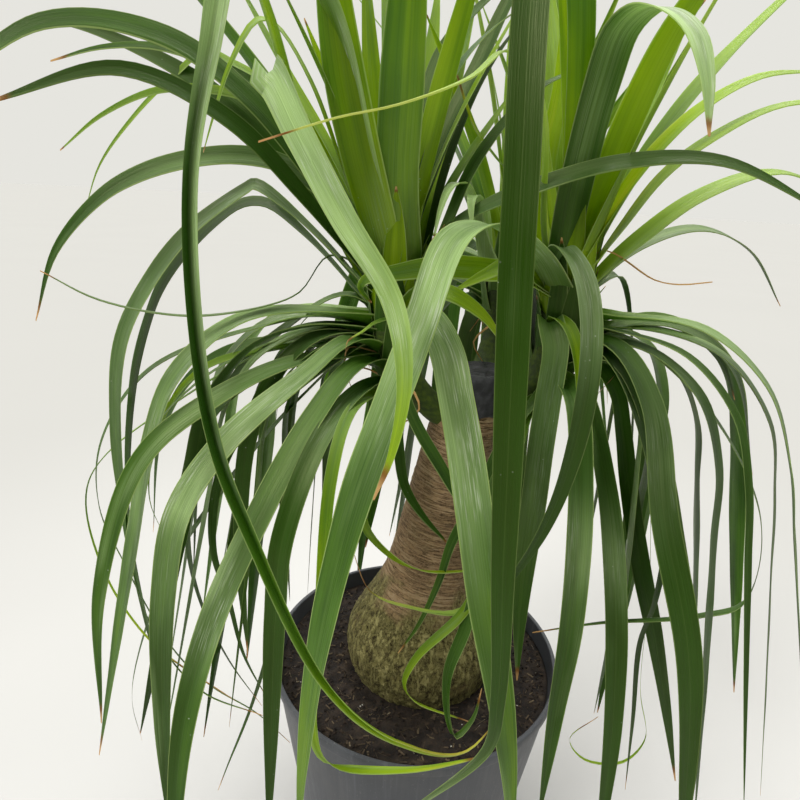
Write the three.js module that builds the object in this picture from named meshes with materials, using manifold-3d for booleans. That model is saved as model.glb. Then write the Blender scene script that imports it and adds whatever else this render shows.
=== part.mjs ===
// Potted ponytail palm: a nursery pot, its soil, a swollen leaning trunk with a sealed cut top,
// and three leafy heads of long arching strap leaves.
// Millimetres, +Z up, origin at the middle of the pot's foot.
import * as THREE from "three";
import { mergeVertices } from "three/addons/utils/BufferGeometryUtils.js";
import Module from "manifold-3d";

const wasm = await Module();
wasm.setup();

// Driving dimensions of the pot and its soil
const POT_HEIGHT = 200;
const RIM_RADIUS = 120;
const FOOT_RADIUS = 89;
const POT_WALL = 2.2;
const LIP_DROP = 7;
const LIP_PROUD = 1.6;
const POT_SIDES = 48;
const DRAIN_HOLES = 8;
const DRAIN_RADIUS = 8;
const DRAIN_CIRCLE = 66;
const SOIL_BELOW_RIM = 10;
const SOIL_CROWN = 4;
const FIT_GAP = 0.35;

// Driving dimensions of the trunk: [height, radius] from the buried foot to the sawn top
const TRUNK_PROFILE = [
  [156, 0], [158, 26], [166, 44], [180, 55], [196, 61], [210, 63.5], [224, 62], [238, 56], [255, 47],
  [275, 38.5], [300, 33.5], [330, 30.5], [365, 28.5], [400, 27], [425, 25.5], [444, 24], [447, 22], [448, 0],
];
const TRUNK_FOOT_X = 5;
const TRUNK_LEAN = 30;
const LEAN_FROM = 198;
const TRUNK_TOP = 448;
const TRUNK_SIDES = 28;
const SEAL_DEPTH = 27;
const SEAL_THICKNESS = 2;

// Driving dimensions of a leaf blade
const BLADE_THICKNESS = 0.9;
const BLADE_STEPS = 9;
const TIP_SHARE = 0.08;
const ROOT_NARROWING = 0.3;
const GOLDEN_ANGLE = 137.508;
const GOLDEN_SHARE = 0.618034;
const YOUNG_AGE = 0.26;
const LOWEST_RISE = -12;
const LEAF_CLEARANCE = 22;
const FLOOR_CLEARANCE = 12;
const POT_CLEARANCE = 14;
const CLEARANCE_POINTS = 26;
const OWN_CLEARANCE = 12;
const ROOT_POINTS = 4;
const OWN_ROOT_POINTS = 8;
const SHORTEST_ROUTE = 4;
const TURN_TRIES = [0, 7, -7, 14, -14, 21, -21, 28, -28, 40, -40, 55, -55];

// The open space before the trunk
const FRONT_Y = -70;
const FRONT_HALF_WIDTH = 175;
const FRONT_TOP = 660;

// The three heads: crown point, foot of the stem in the trunk, and of the drawn leaves the compass sector,
// the greatest rise of the old ones, the number and the seed
const HEADS = [
  {
    name: "left_head", crown: [-30, -5, 470], foot: [12, -2, 408],
    sector: [138, 216], rise: 24, drawn: 14, seed: 11,
  },
  {
    name: "right_head", crown: [89, 5, 476], foot: [42, 0, 412],
    sector: [-42, 32], rise: 24, drawn: 14, seed: 23,
  },
  {
    name: "back_head", crown: [56, 62, 490], foot: [34, 10, 420],
    sector: [40, 152], rise: 52, drawn: 24, seed: 37,
  },
];
const STEM_RADII = [[-1, 12], [-0.4, 12.5], [0, 17], [0.25, 17], [0.6, 12], [1, 5]];
const STEM_ABOVE_CROWN = 46;
const STEM_SIDES = 14;

// A leaf placed by hand: compass turn, width, twist of the hanging part, height of its root against the
// head's crown point, and a path of [reach, height, side] from that point. Reach runs out along the turn.
const strap = (turn, width, twist, root, path) => ({ turn, width, twist, root, path });

const PLACED_LEAVES = {
  left_head: [
    // Two long leaves that come over to the front: one curls back over the rim, one is folded at its top
    strap(235, 15, 20, 20, [
      [35, 110], [80, 195], [125, 205], [166, 144, 19], [189, 91, 34], [199, 6, 53], [190, -46, 65],
      [161, -136, 83], [108, -213, 96], [53, -256, 115], [16, -243, 125],
    ]),
    strap(218, 18, 10, 5, [
      [35, 55, -6], [64, 97, -8], [100, 153, -8], [101, 150, 4], [98, 125, 28], [89, 84, 70],
      [80, 48, 104], [80, 5, 122], [88, -36, 118], [93, -54, 110],
    ]),
    // The broad leaf that hangs in front of the trunk
    strap(290, 23, 0, -5, [
      [25, 22], [60, 27, -2], [88, 12], [107, -10], [121, -36, 2], [135, -72, 5], [147, -116, 10],
      [161, -195, 23], [165, -250, 32], [166, -300, 38],
    ]),
    // Arching leaves of the left side, from the highest to the lowest
    strap(188, 17, 35, 5, [
      [20, 30], [60, 72], [95, 98], [99, 96], [135, 70], [162, 38], [185, -5], [195, -70], [195, -150],
      [182, -300],
    ]),
    strap(168, 15, 40, 0, [
      [35, 28], [85, 62], [130, 66], [170, 45], [205, 0], [226, -60], [235, -130], [230, -235],
    ]),
    strap(220, 19, 38, -20, [
      [35, 2], [75, -18], [130, -52], [160, -88], [173, -140], [181, -240], [183, -350],
    ]),
    strap(234, 18, 30, -25, [[40, -12], [80, -37], [135, -100], [165, -145], [188, -205], [208, -350]]),
    strap(242, 16, 25, -35, [[45, -28], [88, -47], [125, -98], [133, -150], [146, -330]]),
    strap(172, 10, 50, 5, [[35, 28], [75, 6], [112, -28], [148, -90], [168, -230]]),
    strap(200, 13, 45, -10, [[42, 6], [72, -8], [100, -55], [112, -140], [110, -250]]),
    strap(160, 12, 60, -12, [[75, -14], [130, -24], [180, -55], [218, -115], [238, -220]]),
    strap(205, 13, 45, -15, [[70, -12], [130, -36], [172, -70], [205, -160], [215, -270]]),
    strap(200, 17, 25, 12, [[25, 50], [60, 105], [95, 145], [140, 172], [200, 172], [265, 120]]),
    strap(210, 14, 25, 10, [[35, 55], [70, 95], [112, 132], [165, 150], [225, 128]]),
    // Young upright leaves
    strap(160, 9, 20, 25, [[20, 70], [50, 120], [85, 170], [130, 235]]),
    strap(235, 25, 10, 25, [[25, 80], [45, 125], [62, 168], [85, 260]]),
    strap(275, 27, 0, 22, [[15, 60], [25, 105, -5], [35, 150, -5], [55, 205, -5], [85, 262, -5]]),
    strap(130, 17, 0, 30, [[15, 90], [25, 145, 5], [45, 250, 5]]),
    strap(225, 16, 10, 15, [[29, 54, -15], [65, 130, -22], [96, 188, -11], [135, 240]]),
    strap(60, 14, 0, 18, [[15, 68, -7], [34, 120, -9], [50, 166, -8], [80, 225, -5]]),
    strap(20, 14, -30, 20, [[15, 95], [30, 140], [48, 178], [70, 225], [105, 270]]),
    strap(345, 13, -10, 15, [[28, 72], [55, 92], [90, 108], [135, 122], [190, 124], [250, 98]]),
    // Narrow leaves low in front of the trunk and along the front of the pot
    strap(250, 7, 0, -38, [[40, -42, 5], [70, -104, 9], [63, -131, 24], [50, -148, 46], [22, -154, 86]]),
    strap(245, 9, 0, -38, [
      [70, -35, 5], [100, -70, 10], [124, -163, 19], [131, -223, 19], [129, -250, 28], [110, -250, 76],
      [81, -243, 121],
    ]),
  ],
  right_head: [
    // The long dark leaf that hangs nearest to the front, and the broad pale one that crosses to the left
    strap(255, 16, 5, 20, [
      [16, 120, -5], [62, 205, -15], [122, 215, -30], [167, 91, -23], [181, 5, -17], [182, -78, -11],
      [176, -169, -5], [171, -212, -8], [172, -262, -40], [172, -290, -62],
    ]),
    strap(225, 27, 0, 0, [
      [22, 40], [50, 62], [94, 77], [124, 69], [147, 24], [164, -11], [191, -69], [214, -151],
      [226, -235], [230, -300],
    ]),
    strap(290, 15, 0, 8, [
      [15, 55, -22], [42, 65, -34], [75, 50, -40], [97, 18, -46], [105, -35, -52], [104, -90, -65],
      [92, -155, -92],
    ]),
    // Arching leaves of the right side
    strap(318, 19, -40, -15, [[35, -6], [78, -60], [104, -125], [140, -238], [158, -345]]),
    strap(283, 18, -5, -32, [
      [50, -32, -9], [78, -85, -12], [95, -174, -13], [103, -241, -18], [107, -335, -20],
    ]),
    strap(298, 16, -25, -30, [[32, -38], [65, -90], [88, -158], [108, -260], [120, -400]]),
    strap(308, 20, -30, -8, [[45, 2], [78, -28], [103, -100], [138, -190], [168, -360]]),
    strap(30, 11, -60, 5, [[25, 32], [50, 42], [74, 0], [98, -90], [120, -300]]),
    strap(350, 11, -30, -5, [[30, 6], [55, 15], [82, 14], [120, -12], [150, -90]]),
    // Young upright leaves
    strap(285, 24, 0, 15, [
      [8, 61, -5], [15, 105, -8], [28, 150, -10], [47, 184, -14], [76, 197, -22], [110, 188, -32],
      [148, 160, -44],
    ]),
    strap(320, 23, -15, 20, [[10, 75], [20, 115], [30, 150], [45, 190], [80, 245]]),
    strap(340, 18, -20, 15, [[30, 75], [50, 110], [74, 133], [110, 152], [165, 150]]),
    strap(5, 17, -20, 5, [[25, 45], [50, 72], [85, 100], [135, 118], [190, 105]]),
    strap(20, 12, -20, 0, [[35, 50], [75, 72], [115, 78], [165, 62], [210, 20]]),
    strap(200, 19, 15, 25, [[12, 60], [22, 97], [37, 145], [60, 230]]),
    // Three narrow leaves that hang over the bulb: one swings back, one loops, one is folded near its end
    strap(215, 6, 0, -36, [
      [30, -42, 12], [60, -72, 30], [84, -140, 43], [103, -174, 36], [137, -168, 20], [158, -157, 6],
      [167, -126, -5],
    ]),
    strap(215, 8, 0, -40, [
      [40, -58, 10], [88, -135, 42], [106, -169, 42], [134, -203, 30], [141, -224, 27], [134, -240, 30],
      [97, -262, 50],
    ]),
    strap(220, 11, 0, -44, [
      [42, -50, 8], [96, -140, 34], [112, -178, 38], [123, -212, 36], [122, -250, 40], [117, -263, 43],
      [106, -251, 47], [100, -228, 47],
    ]),
  ],
  back_head: [],
};

const toRadians = THREE.MathUtils.degToRad;
const blend = THREE.MathUtils.lerp;
const ease = THREE.MathUtils.smoothstep;

// Seeded draws between two limits, the same on every run
function seededDraw(seed) {
  let state = seed;
  return (low, high) => {
    state = (state * 16807) % 2147483647;
    return low + ((high - low) * state) / 2147483647;
  };
}

// A closed geometry as a solid that can be joined and cut
function toSolid(geometry) {
  const bare = geometry.index ? geometry : geometry.clone();
  bare.deleteAttribute("normal");
  bare.deleteAttribute("uv");
  const merged = mergeVertices(bare, 1e-4);
  const mesh = new wasm.Mesh({
    numProp: 3,
    vertProperties: new Float32Array(merged.attributes.position.array),
    triVerts: new Uint32Array(merged.index.array),
  });
  return new wasm.Manifold(mesh);
}

// A solid back as a three.js geometry
function toGeometry(solid) {
  const mesh = solid.getMesh();
  const geometry = new THREE.BufferGeometry();
  geometry.setAttribute("position", new THREE.BufferAttribute(new Float32Array(mesh.vertProperties), 3));
  geometry.setIndex(new THREE.BufferAttribute(new Uint32Array(mesh.triVerts), 1));
  geometry.computeVertexNormals();
  return geometry;
}

// The one largest body of a solid, without loose scraps
function largestBody(solid) {
  const bodies = solid.decompose();
  bodies.sort((a, b) => b.volume() - a.volume());
  return bodies[0];
}

// A turned shape standing on +Z from [height, radius] pairs, whose axis then leans as centreAt(height) says
function turnedSolid(profile, sides, centreAt) {
  const outline = profile.map(([height, radius]) => new THREE.Vector2(radius, height));
  const geometry = new THREE.LatheGeometry(outline, sides);
  geometry.rotateX(Math.PI / 2);
  const position = geometry.attributes.position;
  for (let i = 0; i < position.count; i += 1) {
    const centre = centreAt(position.getZ(i));
    position.setX(i, position.getX(i) + centre.x);
    position.setY(i, position.getY(i) + centre.y);
  }
  return toSolid(geometry);
}

const upright = () => ({ x: 0, y: 0 });

// Middle of the trunk at a height: straight in the soil, then leaning to +X
function trunkCentre(height) {
  const share = Math.max(0, height - LEAN_FROM) / (TRUNK_TOP - LEAN_FROM);
  return { x: TRUNK_FOOT_X + TRUNK_LEAN * share * share, y: 0 };
}

// Radius of the trunk at a height
function trunkRadius(height) {
  for (let i = 1; i < TRUNK_PROFILE.length; i += 1) {
    const [lowHeight, lowRadius] = TRUNK_PROFILE[i - 1];
    const [highHeight, highRadius] = TRUNK_PROFILE[i];
    if (height <= highHeight) {
      return blend(lowRadius, highRadius, (height - lowHeight) / (highHeight - lowHeight));
    }
  }
  return 0;
}

function trunkSolid(extra) {
  const grown = TRUNK_PROFILE.map(([height, radius], i) => {
    const end = i === 0 ? -extra : i === TRUNK_PROFILE.length - 1 ? extra : 0;
    return [height + end, radius > 0 ? radius + extra : 0];
  });
  return turnedSolid(grown, TRUNK_SIDES, trunkCentre);
}

// Paste cap over the sawn top: the trunk's own outline, thicker, less the trunk
function sealSolid(extra) {
  const from = TRUNK_TOP - SEAL_DEPTH;
  const proud = SEAL_THICKNESS + extra;
  const profile = [
    [from - extra, 0],
    [from - extra, trunkRadius(from) + proud],
    [TRUNK_TOP - 5, trunkRadius(TRUNK_TOP - 5) + proud],
    [TRUNK_TOP - 1, trunkRadius(TRUNK_TOP - 2) + proud],
    [TRUNK_TOP + proud, TRUNK_PROFILE.at(-2)[1] - 2],
    [TRUNK_TOP + proud, 0],
  ];
  return turnedSolid(profile, TRUNK_SIDES, trunkCentre);
}

// Outer wall radius of the pot at a height
function potRadius(height) {
  return blend(FOOT_RADIUS, RIM_RADIUS - LIP_PROUD, Math.min(1, height / POT_HEIGHT));
}

function potSolid() {
  const lipFoot = POT_HEIGHT - LIP_DROP;
  const profile = [
    [0, 0],
    [0, FOOT_RADIUS - 1.5],
    [1.5, FOOT_RADIUS],
    [lipFoot - 1, potRadius(lipFoot)],
    [lipFoot, RIM_RADIUS],
    [POT_HEIGHT - 0.8, RIM_RADIUS],
    [POT_HEIGHT, RIM_RADIUS - 0.8],
    [POT_HEIGHT, potRadius(POT_HEIGHT) - POT_WALL + 0.6],
    [POT_HEIGHT - 0.6, potRadius(POT_HEIGHT) - POT_WALL],
    [POT_WALL, potRadius(POT_WALL) - POT_WALL],
    [POT_WALL, 0],
  ];
  let pot = turnedSolid(profile, POT_SIDES, upright);
  for (let i = 0; i < DRAIN_HOLES; i += 1) {
    const angle = (i / DRAIN_HOLES) * 2 * Math.PI;
    const drill = new THREE.CylinderGeometry(DRAIN_RADIUS, DRAIN_RADIUS, 6 * POT_WALL, 16);
    drill.rotateX(Math.PI / 2);
    drill.translate(DRAIN_CIRCLE * Math.cos(angle), DRAIN_CIRCLE * Math.sin(angle), 0);
    pot = pot.subtract(toSolid(drill));
  }
  return pot;
}

function soilSolid() {
  const foot = POT_WALL + FIT_GAP;
  const inner = (height) => potRadius(height) - POT_WALL - FIT_GAP;
  const edge = POT_HEIGHT - SOIL_BELOW_RIM - SOIL_CROWN;
  const profile = [
    [foot, 0],
    [foot, inner(foot)],
    [edge, inner(edge)],
    [edge + SOIL_CROWN * 0.7, inner(edge) - 10],
    [edge + SOIL_CROWN, inner(edge) - 30],
    [edge + SOIL_CROWN, 0],
  ];
  return turnedSolid(profile, POT_SIDES, upright).subtract(trunkSolid(FIT_GAP));
}

// A head's short stem, from inside the trunk up to its growing tip
function stemCentre(head, height) {
  const [footX, footY, footZ] = head.foot;
  const [crownX, crownY, crownZ] = head.crown;
  const share = THREE.MathUtils.clamp((height - footZ) / (crownZ - footZ), 0, 1);
  const outward = Math.sin((share * Math.PI) / 2);
  return { x: blend(footX, crownX, outward), y: blend(footY, crownY, outward) };
}

function stemSolid(head) {
  const foot = head.foot[2];
  const crown = head.crown[2];
  const heightOf = (share) => (share < 0 ? crown + share * (crown - foot) : crown + share * STEM_ABOVE_CROWN);
  const profile = [[foot, 0]];
  for (const [share, radius] of STEM_RADII) {
    profile.push([heightOf(share), radius]);
  }
  profile.push([crown + STEM_ABOVE_CROWN, 0]);
  return turnedSolid(profile, STEM_SIDES, (height) => stemCentre(head, height));
}

// World points of a path of [reach, height, side] steps that runs out along a compass turn
function worldRoute(head, root, turn, path) {
  const [x, y, z] = head.crown;
  const out = new THREE.Vector3(Math.cos(toRadians(turn)), Math.sin(toRadians(turn)), 0);
  const aside = new THREE.Vector3(-out.y, out.x, 0);
  const route = [new THREE.Vector3(x, y, z + root)];
  for (const [reach, height, side = 0] of path) {
    const point = new THREE.Vector3(x, y, z + height);
    point.addScaledVector(out, reach);
    point.addScaledVector(aside, side);
    route.push(point);
  }
  return route;
}

// Path of a drawn leaf: a young one stands and leans out, an old one leaves lower, bends early and hangs
function archedPath(age, oldRise, draw) {
  const steps = 9;
  const young = Math.min(1, age / YOUNG_AGE);
  const old = Math.max(0, age - YOUNG_AGE) / (1 - YOUNG_AGE);
  const rise = (old > 0 ? blend(oldRise, LOWEST_RISE, old) : blend(86, 62, young)) + draw(-6, 6);
  const fall = (old > 0 ? blend(-74, -88, old) : blend(76, 24, young)) + draw(-4, 4);
  const length = (old > 0 ? blend(480, 400, old) : blend(260, 340, young)) + draw(-40, 40);
  const bendEnd = old > 0 ? blend(0.5, 0.32, old) : 0.85;
  const sway = draw(-28, 28);
  const path = [];
  let reach = 0;
  let height = 0;
  for (let i = 1; i <= steps; i += 1) {
    const share = (i - 0.5) / steps;
    const angle = toRadians(blend(rise, fall, ease(share, 0, bendEnd)));
    reach += (length / steps) * Math.cos(angle);
    height += (length / steps) * Math.sin(angle);
    path.push([reach, height, sway * Math.pow(i / steps, 2)]);
  }
  return path;
}

// Points along a route, evenly in its own parameter
function curvePoints(route, count) {
  return new THREE.CatmullRomCurve3(route, false, "centripetal").getPoints(count);
}

// True where a point is too near the pot, the soil or the floor
function inPot(point) {
  const across = Math.hypot(point.x, point.y);
  const nearPot = across < RIM_RADIUS + POT_CLEARANCE && point.z < POT_HEIGHT + POT_CLEARANCE;
  return nearPot || point.z < FLOOR_CLEARANCE;
}

// The route up to the first point that would dip into the pot or the floor
function shortened(route) {
  const blocked = route.findIndex((point, i) => i > 2 && inPot(point));
  return blocked < 0 ? route : route.slice(0, blocked);
}

// Smallest distance from one leaf's outer points to another's
function closest(points, others, from) {
  let least = Infinity;
  for (let i = from; i < points.length; i += 1) {
    for (let j = from; j < others.length; j += 1) {
      least = Math.min(least, points[i].distanceTo(others[j]));
    }
  }
  return least;
}

// True where the hanging part of a leaf stays off the trunk
function clearOfTrunk(points) {
  return points.every((point, i) => {
    if (i < ROOT_POINTS || point.z > TRUNK_TOP + POT_CLEARANCE) {
      return true;
    }
    const centre = trunkCentre(point.z);
    const away = Math.hypot(point.x - centre.x, point.y - centre.y);
    return away > trunkRadius(Math.min(point.z, TRUNK_TOP)) + POT_CLEARANCE;
  });
}

// True where a leaf crosses no leaf of another head, and lies apart from its own head's outer leaves
function clearOfLeaves(points, headName, leaves) {
  return leaves.every((leaf) => {
    if (leaf.headName === headName) {
      return closest(points, leaf.checks, OWN_ROOT_POINTS) > OWN_CLEARANCE;
    }
    return closest(points, leaf.checks, 0) > LEAF_CLEARANCE;
  });
}

// True where a point lies in the open space before the trunk, which only placed leaves cross
function inFront(point) {
  return point.y < FRONT_Y && Math.abs(point.x) < FRONT_HALF_WIDTH && point.z < FRONT_TOP;
}

// True where a drawn leaf leaves the front open and touches neither the trunk nor another leaf
function hangsClear(leaf, leaves) {
  const open = !leaf.checks.some(inFront);
  return open && clearOfTrunk(leaf.checks) && clearOfLeaves(leaf.checks, leaf.headName, leaves);
}

// Young leaves stand all round their stem; older ones fill the head's own sector, away from the other heads
function drawnTurn(head, index, age) {
  if (age < YOUNG_AGE) {
    return head.sector[0] + index * GOLDEN_ANGLE;
  }
  const share = (index * GOLDEN_SHARE) % 1;
  return blend(head.sector[0], head.sector[1], share);
}

function makeLeaf(head, { turn, width, twist }, route) {
  const checks = curvePoints(route, CLEARANCE_POINTS);
  return { headName: head.name, turn, width, twist, route, checks };
}

// Every leaf of every head: the placed ones first, then the drawn ones that find room
function growLeaves() {
  const leaves = [];
  for (const head of HEADS) {
    for (const placed of PLACED_LEAVES[head.name]) {
      leaves.push(makeLeaf(head, placed, worldRoute(head, placed.root, placed.turn, placed.path)));
    }
  }
  const draws = HEADS.map((head) => seededDraw(head.seed));
  const most = Math.max(...HEADS.map((head) => head.drawn));
  for (let i = 0; i < most; i += 1) {
    HEADS.forEach((head, k) => {
      if (i >= head.drawn) {
        return;
      }
      const age = Math.pow(i / (head.drawn - 1), 1.25);
      const path = archedPath(age, head.rise, draws[k]);
      const width = draws[k](14, 20);
      const twist = draws[k](-50, 50);
      const root = blend(30, -34, age);
      const fitting = TURN_TRIES.map((offset) => drawnTurn(head, i, age) + offset)
        .map((turn) => makeLeaf(head, { turn, width, twist }, shortened(worldRoute(head, root, turn, path))))
        .find((leaf) => leaf.route.length > SHORTEST_ROUTE && hangsClear(leaf, leaves));
      if (fitting) {
        leaves.push(fitting);
      }
    });
  }
  return leaves;
}

// Share of the full width at a share of the leaf's length: narrower root, even strap, long taper
function widthShare(share) {
  const flare = 1 - ROOT_NARROWING * (1 - ease(share, 0, 0.15));
  const taper = Math.max(0, share - 0.5) / 0.5;
  return flare * (1 - (1 - TIP_SHARE) * Math.pow(taper, 1.7));
}

// One strap blade along its route, as a closed solid of four-cornered rings
function bladeSolid(leaf) {
  const spans = leaf.route.length - 1;
  const centres = curvePoints(leaf.route, spans * Math.ceil(BLADE_STEPS / spans - 0.2));
  const lengths = [0];
  for (let i = 1; i < centres.length; i += 1) {
    lengths.push(lengths[i - 1] + centres[i].distanceTo(centres[i - 1]));
  }
  const turn = toRadians(leaf.turn);
  const flat = new THREE.Vector3(-Math.sin(turn), Math.cos(turn), 0);
  const last = centres.length - 1;
  const corners = [];
  centres.forEach((centre, i) => {
    const share = lengths[i] / lengths[last];
    const along = centres[Math.min(i + 1, last)].clone().sub(centres[Math.max(i - 1, 0)]).normalize();
    const across = flat.clone().addScaledVector(along, -flat.dot(along)).normalize();
    across.applyAxisAngle(along, -toRadians(leaf.twist) * ease(share, 0.05, 0.6));
    const up = across.clone().cross(along);
    const half = (leaf.width * widthShare(share)) / 2;
    const thick = BLADE_THICKNESS / 2;
    for (const [a, b] of [[1, 1], [1, -1], [-1, -1], [-1, 1]]) {
      const corner = centre.clone().addScaledVector(across, a * half).addScaledVector(up, b * thick);
      corners.push(corner.x, corner.y, corner.z);
    }
  });
  const faces = [0, 2, 1, 0, 3, 2];
  for (let i = 0; i < last; i += 1) {
    const [a, b] = [4 * i, 4 * i + 4];
    faces.push(a, a + 1, b + 1, a, b + 1, b);
    faces.push(a + 1, a + 2, b + 1, a + 2, b + 2, b + 1);
    faces.push(a + 2, a + 3, b + 3, a + 2, b + 3, b + 2);
    faces.push(a + 3, a, b, a + 3, b, b + 3);
  }
  const end = 4 * last;
  faces.push(end, end + 1, end + 2, end, end + 2, end + 3);
  const geometry = new THREE.BufferGeometry();
  geometry.setAttribute("position", new THREE.Float32BufferAttribute(corners, 3));
  geometry.setIndex(faces);
  return toSolid(geometry);
}

// A head in one body: its stem and every blade rooted in it, cut clear of the trunk and its seal
function headSolid(head, leaves) {
  const own = leaves.filter((leaf) => leaf.headName === head.name);
  const joined = wasm.Manifold.union([stemSolid(head), ...own.map(bladeSolid)]);
  return largestBody(joined.subtract(trunkSolid(FIT_GAP)).subtract(sealSolid(FIT_GAP)));
}

const group = new THREE.Group();

function addPiece(name, solid, color, roughness) {
  const material = new THREE.MeshStandardMaterial({ color, roughness, metalness: 0 });
  const mesh = new THREE.Mesh(toGeometry(solid), material);
  mesh.name = name;
  group.add(mesh);
}

addPiece("pot", potSolid(), 0x4a4b4d, 0.55);
addPiece("soil", soilSolid(), 0x2a211b, 0.95);
addPiece("trunk", trunkSolid(0), 0x7b6a4a, 0.85);
addPiece("wound_seal", largestBody(sealSolid(0).subtract(trunkSolid(FIT_GAP))), 0x2b2c2d, 0.6);
const leaves = growLeaves();
for (const head of HEADS) {
  addPiece(head.name, headSolid(head, leaves), 0x3f6b25, 0.5);
}

export default group;
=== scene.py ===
"""Looks of the potted ponytail palm: a nursery pot of soil, a swollen trunk and three leafy heads.

Every piece is in metres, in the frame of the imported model. Sizes and leaf routes are kept in millimetres.
"""
import logging
import math
from dataclasses import dataclass, field
from enum import Enum
from typing import Sequence

import bmesh
import bpy
import numpy as np
from mathutils import Matrix, Vector, noise


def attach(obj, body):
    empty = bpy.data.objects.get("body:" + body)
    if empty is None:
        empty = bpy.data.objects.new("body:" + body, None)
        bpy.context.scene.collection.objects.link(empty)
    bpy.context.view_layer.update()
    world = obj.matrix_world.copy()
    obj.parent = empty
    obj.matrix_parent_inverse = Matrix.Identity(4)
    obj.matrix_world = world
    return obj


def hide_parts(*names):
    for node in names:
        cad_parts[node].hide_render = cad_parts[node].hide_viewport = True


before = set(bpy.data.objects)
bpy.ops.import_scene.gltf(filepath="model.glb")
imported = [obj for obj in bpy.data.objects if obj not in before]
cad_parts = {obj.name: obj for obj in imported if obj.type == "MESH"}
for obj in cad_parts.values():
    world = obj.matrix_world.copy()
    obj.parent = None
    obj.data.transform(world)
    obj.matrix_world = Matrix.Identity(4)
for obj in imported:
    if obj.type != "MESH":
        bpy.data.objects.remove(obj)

LOG = logging.getLogger("ponytail_palm")
MM = 0.001
ROOT_BODY = "root"
CHECK_SPANS = 26
# Numbers kept on each leaf's vertices: its tone, its painted sheen (a painted highlight), its dryness and its
# seed.
LEAF_NUMBERS = ("tone", "pale", "dry", "seed")
LEAF_MAP = "Blade"

Colour = tuple[float, float, float, float]
Socket = bpy.types.NodeSocket
Stops = tuple[tuple[float, str], ...]
Outline = Sequence[tuple[float, float]]
Step = tuple[float, ...]


def linear(code: str) -> Colour:
    """Turns a web colour code into a linear colour.

    Args:
        code: Six hexadecimal digits after a hash sign.

    Returns:
        The linear colour, with full alpha.
    """
    parts = [int(code[i:i + 2], 16) / 255 for i in (1, 3, 5)]
    lit = [p / 12.92 if p <= 0.04045 else ((p + 0.055) / 1.055) ** 2.4 for p in parts]
    return lit[0], lit[1], lit[2], 1.0


def blend(low: float, high: float, share: float) -> float:
    """Gives the number at a share of the way from low to high."""
    return low + (high - low) * share


def ease(value: float, low: float, high: float) -> float:
    """Gives a smooth step from 0 at low to 1 at high."""
    share = min(1.0, max(0.0, (value - low) / (high - low)))
    return share * share * (3 - 2 * share)


class SeededDraw:
    """Draws numbers between limits, the same on every run."""

    def __init__(self, seed: int) -> None:
        """Starts the row of draws at a seed."""
        self.state = seed

    def __call__(self, low: float, high: float) -> float:
        """Draws one number between low and high."""
        self.state = (self.state * 16807) % 2147483647
        return low + (high - low) * self.state / 2147483647


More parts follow.
